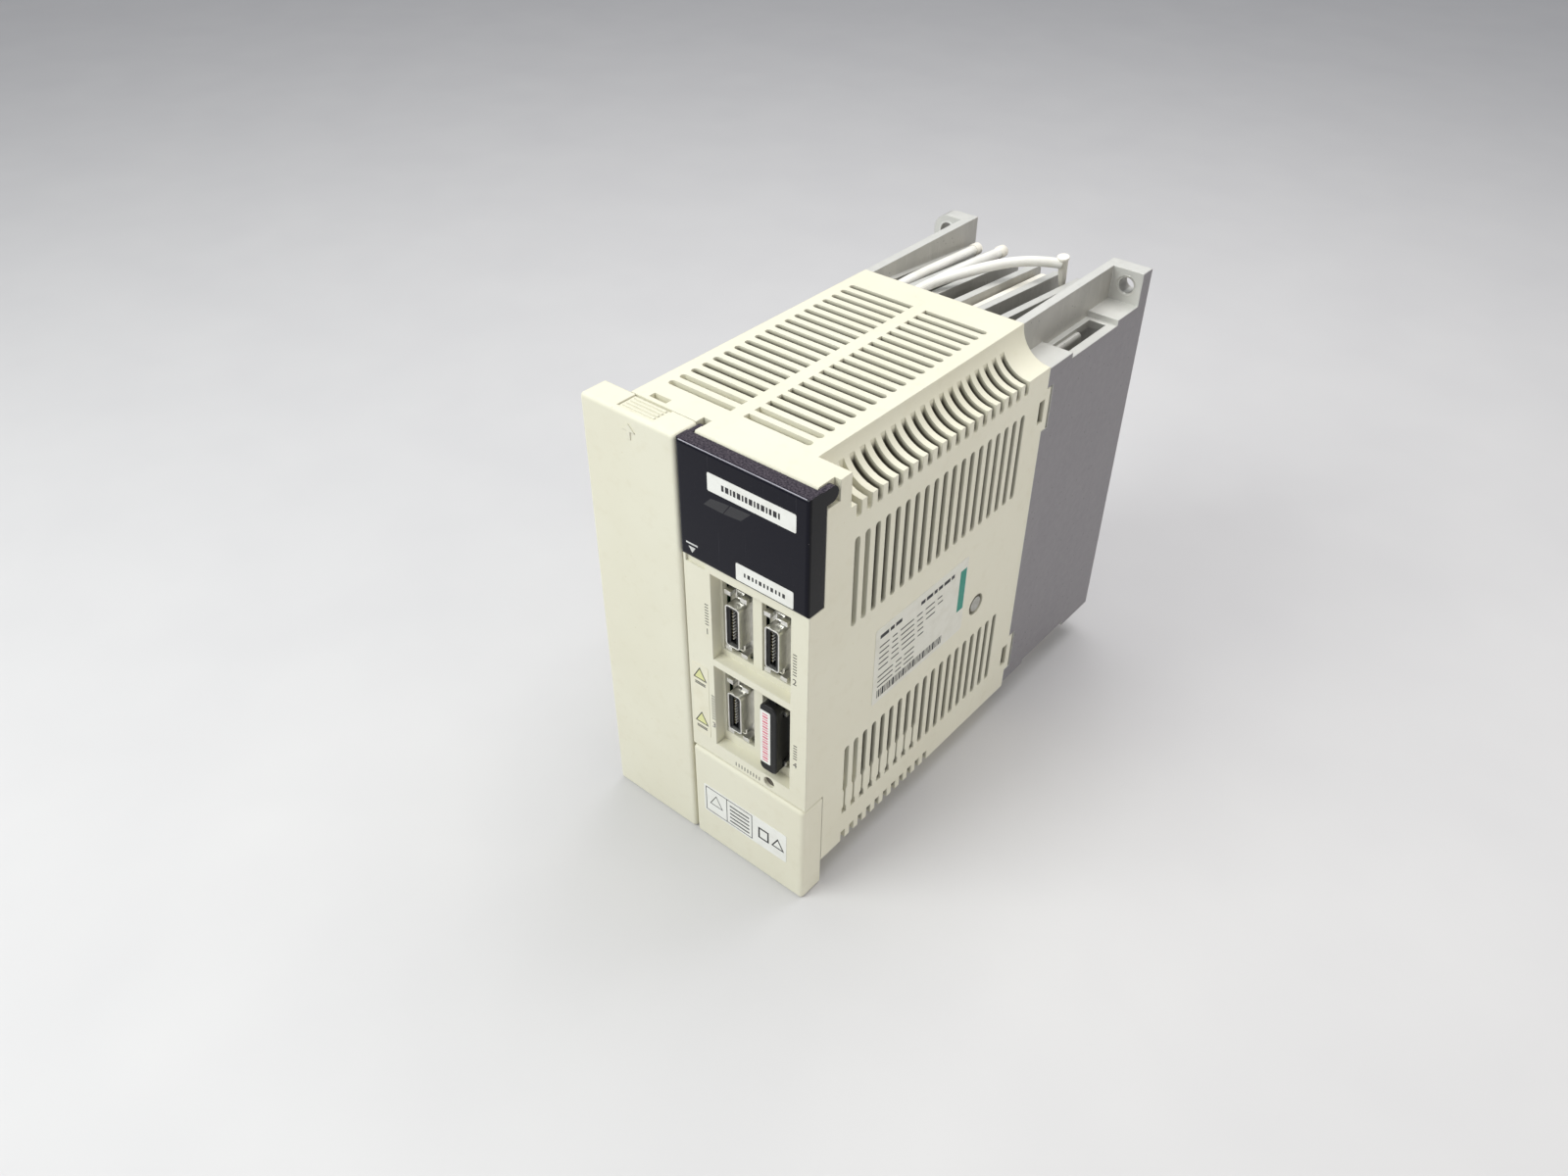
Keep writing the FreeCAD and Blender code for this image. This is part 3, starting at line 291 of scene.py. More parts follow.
def gloss_black():
    """Polished black acrylic with dust, wiped smears and hair scratches."""
    look = Look("window_black", rgb(10, 10, 24), 0.1, fixed={"Specular IOR Level": 0.17})
    scratch = look.math(
        "MAXIMUM",
        look.range(look.noise(0.5, 0, (1, 1, 60), 2), 0.76, 0.8),
        look.range(look.noise(0.5, 0, (50, 1, 1), 4), 0.78, 0.82),
    )
    dust = look.math("MAXIMUM", look.specks(2.3, 0.09), look.specks(5.5, 0.06))
    # painted light: the upward faces are tinted lighter grey, broken by a grainy noise
    level = look.facing("Z", 0.8, 0.95)
    top_light_grain = look.range(look.noise(0.6, 3), 0.3, 0.7)
    look.tint(rgb(96, 88, 96), look.math("MULTIPLY", level, top_light_grain), 0.85)
    look.tint(rgb(60, 60, 66), scratch, 0.25)
    look.tint(rgb(170, 168, 162), look.math("MULTIPLY", dust, look.facing("X", 0.2, 0.9)), 0.5)
    # painted shade: the side faces are darkened nearly to black
    look.tint(rgb(2, 2, 4), look.facing("X", 0.7, 0.95), 0.9)
    smear = look.range(look.noise(14, 4, (1, 1, 2), 9), 0.4, 0.75)
    look.gloss(look.math("MAXIMUM", smear, look.math("MULTIPLY", dust, 2.5)), 0.1, 0.28)
    look.round_edges(0.3)
    look.relief(scratch, 0.01)
    return look.finish()


def cast_metal():
    """Cast aluminium: a dull skin with flow marks, painted shade on the outer sides, painted light on faces
    that face up, down, forwards or back, and painted highlights along the edges.
    """
    look = Look("cast_aluminium", rgb(186, 184, 178), 0.55, metallic=0.6)
    look.tint(rgb(158, 157, 153), look.range(look.noise(16, 5, (1, 1, 2.2)), 0.4, 0.7), 0.5)
    look.tint(rgb(206, 204, 198), look.range(look.noise(2.2, 5, (1, 1, 5), 2), 0.55, 0.78), 0.4)
    # painted shade: the outer sides of the heat sink are darkened
    look.tint(rgb(140, 137, 142), look.outer_side(), 0.85)
    look.tint(rgb(88, 88, 86), look.specks(3.4, 0.11), 0.5)
    # painted light: faces along Z or Y, the tops and the recess walls, are tinted lighter
    lit_faces = look.math("MAXIMUM", look.facing("Z", 0.9, 0.97), look.facing("Y", 0.9, 0.97))
    look.tint(rgb(224, 224, 220), lit_faces, 0.8)
    # painted highlight: the edges are tinted lighter
    look.tint(rgb(220, 220, 216), look.edges(0.5), 0.7)
    look.gloss(look.noise(3, 4, seed=6), 0.42, 0.68)
    look.round_edges(0.5)
    look.relief(look.noise(2.4, 5, seed=8), 0.12)
    look.relief(look.noise(0.4, 2, seed=1), 0.03)
    return look.finish()


def plated(name, colour, shade, roughness):
    """Plated sheet metal or wire with faint handling marks."""
    look = Look(name, colour, roughness, metallic=1.0)
    look.tint(shade, look.range(look.noise(2.5, 4), 0.4, 0.7), 0.5)
    look.gloss(look.noise(1.2, 3, seed=4), roughness - 0.06, roughness + 0.12)
    look.round_edges(0.12)
    look.relief(look.noise(0.8, 2, seed=2), 0.004)
    return look.finish()


def black_plastic():
    """Black plastic with specks of dust and painted highlights along its edges."""
    look = Look("black_plastic", rgb(15, 15, 17), 0.42, fixed={"Specular IOR Level": 0.35})
    # painted highlight: the edges are tinted paler
    look.tint(rgb(40, 40, 42), look.edges(0.3), 0.7)
    look.tint(rgb(30, 30, 30), look.range(look.noise(5, 4), 0.5, 0.75), 0.6)
    look.tint(rgb(112, 110, 104), look.specks(2.6, 0.07), 0.35)
    look.gloss(look.noise(3, 3, seed=3), 0.34, 0.56)
    look.round_edges(0.3)
    look.relief(look.noise(0.3, 2, seed=5), 0.008)
    return look.finish()


def circuit_board():
    """Green solder mask over copper tracks, with rows of tinned joints."""
    look = Look("board_green", rgb(18, 74, 42), 0.32)
    where = look.stretched([2.54] * 3)
    tracks = look.node("ShaderNodeTexBrick", {"Vector": where, "Scale": 0.5, "Mortar Size": 0.05})
    look.tint(rgb(40, 112, 66), tracks.outputs["Fac"], 0.8)
    joints = look.node("ShaderNodeTexVoronoi", {"Vector": where, "Scale": 1.0, "Randomness": 0.35})
    joint = look.range(joints.outputs["Distance"], 0.2, 0.14)
    look.tint(rgb(176, 178, 176), joint, 0.9)
    look.tint(rgb(10, 52, 30), look.noise(20, 3), 0.4)
    look.relief(joint, 0.25)
    look.relief(tracks.outputs["Fac"], 0.04)
    return look.finish()


def ribbon():
    """Grey flat cable: side by side wires."""
    look = Look("cable_grey", rgb(138, 139, 142), 0.5)
    pitch = {"Vector": look.stretched([1.27] * 3), "Scale": 0.314}
    wires = look.node("ShaderNodeTexWave", pitch, bands_direction="X").outputs["Fac"]
    # painted shade: darker in the grooves between the wires
    look.tint(rgb(92, 93, 96), look.range(wires, 0.35, 0.0), 0.8)
    look.relief(wires, 0.3)
    return look.finish()


def glass_braid():
    """White varnished glass-fibre braid, as on wires that run hot."""
    look = Look("lead_white", rgb(250, 249, 244), 0.5, fixed={"Sheen Weight": 0.25})
    weave = {"Vector": look.stretched([0.55] * 3), "Scale": 0.5, "Distortion": 1.0}
    strands = look.node("ShaderNodeTexWave", weave, bands_direction="DIAGONAL").outputs["Fac"]
    # painted shade: darker in the gaps between the strands
    look.tint(rgb(214, 211, 200), look.range(strands, 0.5, 0.0), 0.5)
    look.tint(rgb(206, 200, 182), look.range(look.noise(9, 4), 0.5, 0.8), 0.45)
    look.relief(strands, 0.06)
    return look.finish()


def ceramic():
    """Cream cement or stoneware with a chalky, pitted skin."""
    look = Look("resistor_cement", rgb(242, 238, 228), 0.72)
    look.tint(rgb(220, 214, 200), look.range(look.noise(7, 5), 0.4, 0.75), 0.6)
    look.tint(rgb(120, 114, 100), look.specks(3, 0.08), 0.5)
    look.round_edges(0.4)
    look.relief(look.noise(0.9, 5, seed=3), 0.06)
    return look.finish()


def film(name, colour, shade, roughness):
    """Printed film or paint: nearly even, with slight wear and a slight orange peel."""
    look = Look(name, colour, roughness)
    look.tint(shade, look.range(look.noise(5, 5), 0.45, 0.75), 0.45)
    look.tint(shade, look.range(look.noise(0.8, 3, seed=2), 0.6, 0.75), 0.4)
    look.gloss(look.noise(6, 3, seed=4), roughness - 0.08, roughness + 0.1)
    look.relief(look.noise(1.4, 2, seed=6), 0.008)
    return look.finish()


def lamp_lens():
    """A clear lens over an unlit lamp."""
    look = Look("lamp_clear", rgb(120, 112, 104), 0.18, fixed={"Transmission Weight": 0.35, "IOR": 1.49})
    look.tint(rgb(70, 58, 52), look.noise(1.5, 3), 0.6)
    look.gloss(look.noise(2, 3), 0.12, 0.3)
    return look.finish()


def shrink_sleeve():
    """Shrunk black tubing, faintly creased."""
    look = Look("sleeve_black", rgb(30, 31, 38), 0.28)
    look.tint(rgb(52, 54, 64), look.noise(6, 3), 0.5)
    look.gloss(look.noise(4, 3, seed=2), 0.2, 0.4)
    look.relief(look.noise(3, 2, (1, 1, 4), 3), 0.05)
    return look.finish()


FINISHES = {
    "ivory_case": ivory(),
    "window_black": gloss_black(),
    "cast_aluminium": cast_metal(),
    "steel": plated("steel", rgb(190, 190, 184), rgb(160, 156, 140), 0.3),
    "plated_metal": plated("plated_metal", rgb(232, 231, 226), rgb(196, 194, 188), 0.3),
    "black_plastic": black_plastic(),
    "contact_gold": plated("contact_gold", rgb(235, 222, 184), rgb(214, 190, 130), 0.3),
    "board_green": circuit_board(),
    "display_dark": film("display_dark", rgb(38, 16, 16), rgb(58, 28, 26), 0.2),
    "switch_blue": moulded("switch_blue", rgb(28, 52, 104), rgb(44, 66, 112), 0.4, 0.2).finish(),
    "ivory_small": moulded("ivory_small", rgb(228, 222, 196), rgb(206, 196, 160), 0.45, 0.3).finish(),
    "lamp_clear": lamp_lens(),
    "sleeve_black": shrink_sleeve(),
    "cable_grey": ribbon(),
    "lead_white": glass_braid(),
}
CEMENT = ceramic()
WHITE_FILM = film("white_film", rgb(238, 238, 233), rgb(216, 214, 203), 0.4)
CREAM_FILM = film("cream_film", rgb(231, 227, 206), rgb(214, 207, 178), 0.4)
SILVER_FILM = film("silver_film", rgb(226, 225, 214), rgb(204, 201, 184), 0.35)
BLACK_INK = film("black_ink", rgb(34, 33, 36), rgb(58, 57, 60), 0.5)
DARK_INK = film("dark_ink", rgb(66, 64, 62), rgb(96, 94, 90), 0.5)
GREY_INK = film("grey_ink", rgb(120, 118, 112), rgb(150, 148, 140), 0.5)
WHITE_INK = film("white_ink", rgb(214, 214, 212), rgb(180, 180, 178), 0.5)
RED_INK = film("red_ink", rgb(222, 104, 130), rgb(232, 146, 164), 0.5)
YELLOW_INK = film("yellow_ink", rgb(222, 222, 160), rgb(208, 208, 150), 0.5)
TEAL_INK = film("teal_ink", rgb(28, 138, 120), rgb(52, 152, 134), 0.4)
# a painted highlight along the window's top front edge
EDGE_HIGHLIGHT = film("painted_edge_highlight", rgb(176, 174, 184), rgb(120, 118, 128), 0.3)
# the colour of the painted reflections on the window
REFLECTION_DARK = film("painted_reflection", rgb(24, 24, 30), rgb(34, 34, 40), 0.2)
# pure white that stands in for the glint of the contact tips
GLINT_WHITE = film("painted_glint_white", rgb(255, 254, 250), rgb(240, 238, 230), 0.35)
UNLIT_SEGMENTS = film("unlit_segments", rgb(104, 60, 54), rgb(122, 78, 70), 0.3)
# the painted highlight round the fixing holes
RING_HIGHLIGHT = plated("painted_ring_highlight", rgb(236, 236, 232), rgb(212, 212, 208), 0.3)


def paint(thing, material):
    """One material all over a thing."""
    if not thing.material_slots:
        thing.data.materials.append(material)
    for place in thing.material_slots:
        place.material = material


def paint_nodes():
    """The CAD nodes, by their material slots. The two cement ones share a slot with small ivory parts."""
    for part in frame["record"]["subparts"]:
        paint(nodes[part["node"]], FINISHES[part["material_slot"]])
    for name in ("brake_resistor", "lead_header"):
        paint(nodes[name], CEMENT)


# ---------------------------------------------------------------- mesh helpers

def mesh_piece(name, make):
    """An object from a function that fills a bmesh."""
    mesh = bmesh.new()
    make(mesh)
    bmesh.ops.recalc_face_normals(mesh, faces=mesh.faces)
    data = bpy.data.meshes.new(name)
    mesh.to_mesh(data)
    mesh.free()
    thing = bpy.data.objects.new(name, data)
    bpy.context.scene.collection.objects.link(thing)
    return thing


def front(depth):
    """Places (across, up) on a plane that faces forwards, with a lift off it."""
    return lambda across, up, lift: at(across, depth - lift, up)


def right(back, up, lift):
    """Places (back, up) on the right side, with a lift off it."""
    return at(WIDTH + lift, back, up)


def block(mesh, foot, top):
    """A solid between two loops of points that run the same way round."""
    foot = [mesh.verts.new(point) for point in foot]
    top = [mesh.verts.new(point) for point in top]
    mesh.faces.new(foot)
    mesh.faces.new(top)
    for a, b, c, d in zip(foot, foot[1:] + foot[:1], top[1:] + top[:1], top):
        mesh.faces.new((a, b, c, d))


def settle(thing, body, material, node=None):
    """Gives a piece its look, slot and body, and the node that it stands in for."""
    paint(thing, material)
    if node:
        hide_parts(node)
    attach(thing, body)


def slabs(name, body, material, place, outlines, low, high):
    """A piece made of flat solids with the given outlines, between two lifts off a plane."""
    def make(mesh):
        for outline in outlines:
            block(mesh, *([place(x, y, lift) for x, y in outline] for lift in (low, high)))
    settle(mesh_piece(name, make), body, material)


def sticker(name, body, material, place, outline):
    """A film on a face."""
    slabs(name, body, material, place, [outline], 0, STICKER)


def printed(name, body, material, place, outlines, base=STICKER):
    """Ink on a sticker, or on a face where base is 0."""
    slabs(name, body, material, place, outlines, base, base + INK)


def rounded(x0, y0, x1, y1, radius, steps=5):
    """A rectangle with round corners."""
    points = []
    corners = ((x1 - radius, y1 - radius, 0), (x0 + radius, y1 - radius, 90),
               (x0 + radius, y0 + radius, 180), (x1 - radius, y0 + radius, 270))
    for x, y, start in corners:
        for step in range(steps + 1):
            angle = math.radians(start + 90 * step / steps)
            points.append((x + radius * math.cos(angle), y + radius * math.sin(angle)))
    return points


def bar(x0, y0, x1, y1):
    """A rectangle."""
    return [(x0, y0), (x1, y0), (x1, y1), (x0, y1)]


def disc(x, y, radius, steps=24):
    """A circle."""
    turns = [2 * math.pi * step / steps for step in range(steps)]
    return [(x + radius * math.cos(turn), y + radius * math.sin(turn)) for turn in turns]


def ring(x0, y0, x1, y1, line):
    """Four bars round a rectangle."""
    return [bar(x0, y0, x1, y0 + line), bar(x0, y1 - line, x1, y1),
            bar(x0, y0 + line, x0 + line, y1 - line), bar(x1 - line, y0 + line, x1, y1 - line)]


def triangle(x, y, half, line):
    """The three sides of an upright triangle, as bars with mitred ends."""
    tip, foot = y + half * 1.15, y - half * 0.6
    corners = [(x, tip), (x - half, foot), (x + half, foot)]
    inner = [(x + (a - x) * (1 - line), y + (b - y) * (1 - line)) for a, b in corners]
    pairs = ((0, 1), (1, 2), (2, 0))
    return [[corners[a], corners[b], inner[b], inner[a]] for a, b in pairs]


def dashes(x0, x1, y, height, lengths, gap):
    """A row of short bars that fills a line, where the real thing has print."""
    made, x, turn = [], x0, 0
    while x + lengths[turn % len(lengths)] <= x1:
        length = lengths[turn % len(lengths)]
        made.append(bar(x, y, x + length, y + height))
        x += length + gap
        turn += 1
    return made


def upright(outlines):
    """The same outlines turned to run up instead of across."""
    return [[(-y, x) for x, y in outline] for outline in outlines]


def shifted(outlines, dx, dy):
    """The same outlines moved across and up."""
    return [[(x + dx, y + dy) for x, y in outline] for outline in outlines]


def numerals(name, body, material, place, marks, size):
    """Plain figures, each given as (figure, x, y) for its middle."""
    thing = mesh_piece(name, lambda mesh: [figure(mesh, place, *mark, size) for mark in marks])
    settle(thing, body, material)


def figure(mesh, place, text, x, y, size):
    """Adds one figure, cut from the built-in typeface, as a thin solid."""
    curve = bpy.data.curves.new("figure", "FONT")
    curve.body, curve.size, curve.align_x, curve.align_y = text, size, "CENTER", "CENTER"
    curve.extrude = INK / 2
    holder = bpy.data.objects.new("figure", curve)
    bpy.context.scene.collection.objects.link(holder)
    shape = bpy.data.meshes.new_from_object(holder)
    made = [mesh.verts.new(place(x + v.co.x, y + v.co.y, INK / 2 + v.co.z)) for v in shape.vertices]
    for face in shape.polygons:
        mesh.faces.new([made[index] for index in face.vertices])
    bpy.data.objects.remove(holder)


# ---------------------------------------------------------------- labels and print

def window_edge():
    """A painted highlight: a bright line along the window's top front edge."""
    middle, half = HEIGHT - 0.36, 0.1
    slabs("window_edge_highlight", "display_window", EDGE_HIGHLIGHT,
          lambda across, back, up: at(across, back, middle + up), [bar(41.2, 0.26, 88.8, 0.5)], -half, half)


def window_labels():
    """Two painted reflections of the display modules behind the window, two white stickers and an arrow
    over a line, on the front of the black window.
    """
    body, slot, glass = "display_window", "window_black", front(0)
    # painted reflections: two lighter patches where the display modules show in the window
    reflection_patches = [[(50.6, 149.6), (58.1, 149.5), (60.8, 153.5), (53.6, 152.8)],
              [(58.4, 149.5), (65.1, 150.1), (68.9, 154), (61.3, 153.6)]]
    slabs("window_reflections", body, REFLECTION_DARK, glass, reflection_patches, -0.02, 0.02)
    sticker("window_sticker_top", body, WHITE_FILM, glass, rounded(52.5, 155.3, 85.5, 161.5, 0.5))
    printed("window_sticker_top_print", body, BLACK_INK, glass,
            dashes(58, 80.5, 157.3, 2.0, (0.9, 1.3, 0.6), 0.55))
    sticker("window_sticker_foot", body, WHITE_FILM, glass, rounded(62.8, 128.2, 84.8, 134.4, 0.5))
    printed("window_sticker_foot_print", body, BLACK_INK, glass,
            dashes(66, 82.5, 130.5, 1.5, (0.6, 1.0, 0.6), 0.75))
    printed("window_open_mark", body, WHITE_INK, glass,
            [[(43.6, 131.4), (46.4, 131.4), (45, 129.2)], bar(42.6, 132.2, 47.4, 132.8)], base=0)


def panel_print():
    """The strip sticker with its two signs, and the figures and rows of bars beside connectors and lamp."""
    body, slot, panel = "drive", "ivory_case", front(1)
    sticker("panel_sticker", body, CREAM_FILM, panel, rounded(41, 51.6, 48.4, 83, 0.6))
    middle, levels = 44.7, (78.4, 58.4)
    fills = [[(middle, up + 3.2), (middle - 2.8, up - 1.7), (middle + 2.8, up - 1.7)] for up in levels]
    printed("panel_sticker_signs", body, YELLOW_INK, panel, fills)
    signs = sum((triangle(middle, up, 3.0, 0.2) for up in levels), [])
    lines = [bar(42.4, up - drop, 47, up - drop + 0.35) for up in levels for drop in (3.5, 4.2)]
    printed("panel_sticker_print", body, BLACK_INK, panel, signs + lines, base=STICKER + INK)
    # a place across and up, and how many bars stand there
    places = ((48.9, 101, 4), (84.8, 100.6, 4), (50.2, 60.5, 5), (85.4, 65, 3))
    numerals("connector_figures", body, DARK_INK, panel,
             [(str(number + 1), x, up - 1.6) for number, (x, up, _) in enumerate(places)], 3.4)
    rows = [shifted(upright(dashes(0, 2.3 * count, 0, 1.5, (0.35,), 0.8)), x + 0.75, up + 1.2)
            for x, up, count in places]
    printed("connector_bars", body, DARK_INK, panel, sum(rows, []), base=0)
    printed("lamp_bars", body, DARK_INK, panel, dashes(59.6, 71.6, 45.9, 1.7, (0.35,), 0.95), base=0)


def connector_details():
    """Painted glints on the contacts, as pure white tips, and a metal loop above and below each open
    connector.
    """
    middles = ((58.3, 105.2), (74.5, 105.2), (58.3, 68.3))
    ways, pitch, aside, half_width, half_height = 10, 1.27, 0.7, 0.06, 0.28
    tips, loops = [], []
    for x, middle in middles:
        for way in range(ways):
            up = middle + (way - (ways - 1) / 2) * pitch
            tips += [bar(across - half_width, up - half_height, across + half_width, up + half_height)
                     for across in (x - aside, x + aside)]
        loops += ring(x - 1.8, middle + 8.9, x + 1.8, middle + 12.1, 0.6)
        loops += ring(x - 1.8, middle - 12.1, x + 1.8, middle - 8.9, 0.6)
    face, plating = front(0), FINISHES["plated_metal"]
    # painted glints: pure white tips inside the connector slots
    slabs("contact_tips", "drive", GLINT_WHITE, face, tips, -5.0, -3.75)
    slabs("connector_loops", "drive", plating, face, loops, -8.02, -6.4)


def lug_rings():
    """A painted highlight: a bright ring at the countersunk edge of each fixing hole."""
    lug_front, inset = 188.5, 6
    section = [(-0.3, 2.95), (0.04, 3.25), (0.05, 3.8), (-0.1, 3.85), (-0.3, 3.4), (-0.3, 2.95)]

    def make(mesh):
        for across, up in ((inset, HEIGHT - inset), (WIDTH - inset, HEIGHT - inset), (inset, inset)):
            lathe(mesh, at(across, lug_front, up), (0, -1, 0), section)
    # painted highlight rings at the fixing holes
    settle(mesh_piece("lug_rings_detailed", make), "drive", RING_HIGHLIGHT)


def plug_label():
    """The white sticker on the plug's face, with a row of red bars up it."""
    body, slot, face = "end_plug", "black_plastic", front(0.4)
    sticker("plug_sticker", body, WHITE_FILM, face, rounded(71.4, 57.2, 75.6, 80.4, 0.4))
    row = shifted(upright(dashes(0, 21.4, 0, 2.2, (0.4, 0.7), 0.6)), 74.6, 58.2)
    printed("plug_sticker_print", body, RED_INK, face, row)


def cover_marks():
    """A raised arrow at the latch, and the sticker low on the small cover."""
    face = front(0)
    arrow = [
        (21, 165), (18.4, 162.4), (20.3, 162.4), (20.3, 159.6), (21.7, 159.6), (21.7, 162.4), (23.6, 162.4),
    ]
    slabs("cover_arrow", "terminal_cover", FINISHES["ivory_case"], face, [arrow], -0.1, 0.3)
    sticker("cover_sticker", "lower_cover", WHITE_FILM, face, rounded(45, 14.5, 83, 28, 0.6))
    cells = ring(45.8, 15.3, 67.6, 27.2, 0.3) + [bar(55.6, 15.3, 55.9, 27.2)]
    lines = [bar(57.2, 16.8 + 1.9 * row, 66.2, 17.4 + 1.9 * row) for row in range(5)]
    signs = triangle(50.7, 21.4, 3.1, 0.17)
    signs += ring(70.4, 18.4, 75.2, 23.8, 0.7) + triangle(79.2, 20.6, 2.9, 0.3)
    printed("cover_sticker_print", "lower_cover", BLACK_INK, face, cells + lines + signs)


def name_plate():
    """The rating plate on the right side, with bars where the real one has print."""
    body, slot, margin = "drive", "ivory_case", 37.5
    sticker("name_plate", body, SILVER_FILM, right, rounded(35, 67.5, 88, 100, 1.0))
    heading = dashes(margin, 54, 95.4, 1.5, (4.6, 2.2, 3.4), 0.8)
    heading += dashes(60, 80, 95.4, 1.5, (2.4, 3.6, 1.8), 0.8)
    lines = [row for number, up in enumerate((91.6, 89.2, 86.8, 84.4, 82.0))
             for row in dashes(margin, 78 - 3 * number, up, 0.5, (5.2, 2.6 + number * 0.4, 7.4, 3.2), 1.8)]
    codes = [row for number, up in enumerate((78.6, 76.4, 74.2))
             for row in dashes(margin, 60 + 3 * number, up, 0.5, (8.4, 3.2, 5.6), 1.6)]
    stripes = dashes(margin, 76, 69.4, 3.4, (0.35, 0.7, 0.35, 1.05, 0.35, 0.35), 0.45)
    printed("name_plate_print", body, BLACK_INK, right, heading + lines + codes + stripes)
    printed("name_plate_stripe", body, TEAL_INK, right, [bar(83.6, 77.5, 87.4, 95.5)])


def segment(x0, y0, x1, y1, half):
    """A bar with pointed ends, one stroke of a display digit."""
    along = Vector((x1 - x0, y1 - y0)).normalized() * half
    side = Vector((-along.y, along.x))
    start, end = Vector((x0, y0)), Vector((x1, y1))
    near, far = start + along, end - along
    points = (start, near + side, far + side, end, far - side, near - side)
    return [tuple(point) for point in points]


def display_face():
    """Two unlit digits on the display, each with its point, and figures round the axis switch."""
    low, middle, high = 141.4, 146.0, 150.6
    halves = ((low, middle), (middle, high))
    digit_width, stroke = 5.2, 0.45
    strokes = []
    for x in (51.4, 60.2):
        far = x + digit_width
        strokes += [segment(x, y, far, y, stroke) for y in (low, middle, high)]
        strokes += [segment(side, y0, side, y1, stroke) for side in (x, far) for y0, y1 in halves]
        strokes.append(disc(far + 1.4, low, 0.5))
    printed("display_digits", "drive", UNLIT_SEGMENTS, front(9.4), strokes, base=0)
    across, up, radius = 77, middle, 6.4
    turns = [(text, math.radians(90 - 90 * quarter)) for quarter, text in enumerate(("0", "4", "8", "12"))]
    marks = [(text, across + radius * math.cos(turn), up + radius * math.sin(turn)) for text, turn in turns]
    numerals("axis_switch_figures", "drive", GREY_INK, front(8.8), marks, 2.0)


def terminal_figures():
    """Figures beside the main terminals, counted from the top."""
    marks = [(str(number), 5.6, up) for number, up in enumerate(reversed(MAIN_TERMINALS), 1)]
    numerals("terminal_figures", "drive", GREY_INK, front(28), marks, 3.2)


# ---------------------------------------------------------------- screws

def lathe(mesh, start, axis, profile, steps=32):
    """A turned solid round an axis through start. The profile is (distance along, radius)."""
    axis = Vector(axis).normalized()
    side = axis.orthogonal().normalized()
    other = axis.cross(side)
    rings = []
    for along, radius in profile:
        centre = start + axis * along * MM
        if radius == 0:
            rings.append([mesh.verts.new(centre)] * steps)
            continue
        turns = (2 * math.pi * step / steps for step in range(steps))
        ways = (side * math.cos(turn) + other * math.sin(turn) for turn in turns)
        rings.append([mesh.verts.new(centre + way * radius * MM) for way in ways])
    for low, high in zip(rings, rings[1:]):
        for step in range(steps):
            corners = (low[step - 1], low[step], high[step], high[step - 1])
            mesh.faces.new(dict.fromkeys(corners))


def screw_shape(head, height, shank, length):
    """A pan-head screw at the origin that points along -Z, with a cross recess cut in its head."""
    profile = [
        (-length, 0), (-length, shank * 0.7), (-length + shank * 0.5, shank), (0, shank), (0, head),
        (height * 0.45, head), (height * 0.8, head * 0.86), (height * 0.97, head * 0.6),
        (height, head * 0.3), (height, 0),
    ]
    blank = mesh_piece("blank", lambda mesh: lathe(mesh, Vector(), (0, 0, 1), profile))
    slot, reach = head * 0.12, head * 0.55
    narrowing = {slot: 0.8, reach: 0.5}  # an arm of the cross is shorter and narrower at its foot

    def loop(half_x, half_y, level):
        corners = ((1, 1), (-1, 1), (-1, -1), (1, -1))
        return [Vector((a * half_x, b * half_y, level)) * MM for a, b in corners]

    def cross(mesh):
        for arm in ((reach, slot), (slot, reach)):
            foot = (half * narrowing[half] for half in arm)
            block(mesh, loop(*foot, height * 0.25), loop(*arm, height + 0.1))
    cutter = mesh_piece("cutter", cross)
    change = blank.modifiers.new("recess", "BOOLEAN")
    change.object, change.solver, change.operation, change.use_self = cutter, "EXACT", "DIFFERENCE", True
    shape = bpy.data.meshes.new_from_object(blank.evaluated_get(bpy.context.evaluated_depsgraph_get()))
    for thing in (blank, cutter):
        bpy.data.objects.remove(thing)
    return shape


def screws(node, body, size, places, facing):
    """Replaces a node with screws whose heads sit at places and face along facing.

    The size is (radius of the head, its height, radius of the shank, its length).
    """
    shape = screw_shape(*size)
    turn = Vector((0, 0, 1)).rotation_difference(Vector(facing))
    step = math.radians(37)  # each screw was left at another angle

    def make(mesh):
        for number, place in enumerate(places):
            spin = Matrix.Rotation(step * number, 4, "Z")
            copy = shape.copy()
            copy.transform(Matrix.Translation(at(*place)) @ turn.to_matrix().to_4x4() @ spin)
            mesh.from_mesh(copy)
    settle(mesh_piece(f"{node}_detailed", make), body, FINISHES["steel"], node)


def all_screws():
    """The screws of both terminal blocks and of the earth plate. All of them face forwards."""
    forwards = (0, -1, 0)
    screws("main_terminal_block_screws", "drive", (3.6, 1.8, 1.8, 6),
           [(22, 19, up) for up in MAIN_TERMINALS], forwards)
    screws("control_terminal_block_screws", "drive", (2.2, 1.8, 1.1, 6),
           [(across, 21, 27.5) for across in CONTROL_TERMINALS], forwards)
    screws("earth_screws", "drive", (3.8, 3, 2, 2), [(13, 26, 25), (27, 26, 25)], forwards)


# ---------------------------------------------------------------- leads

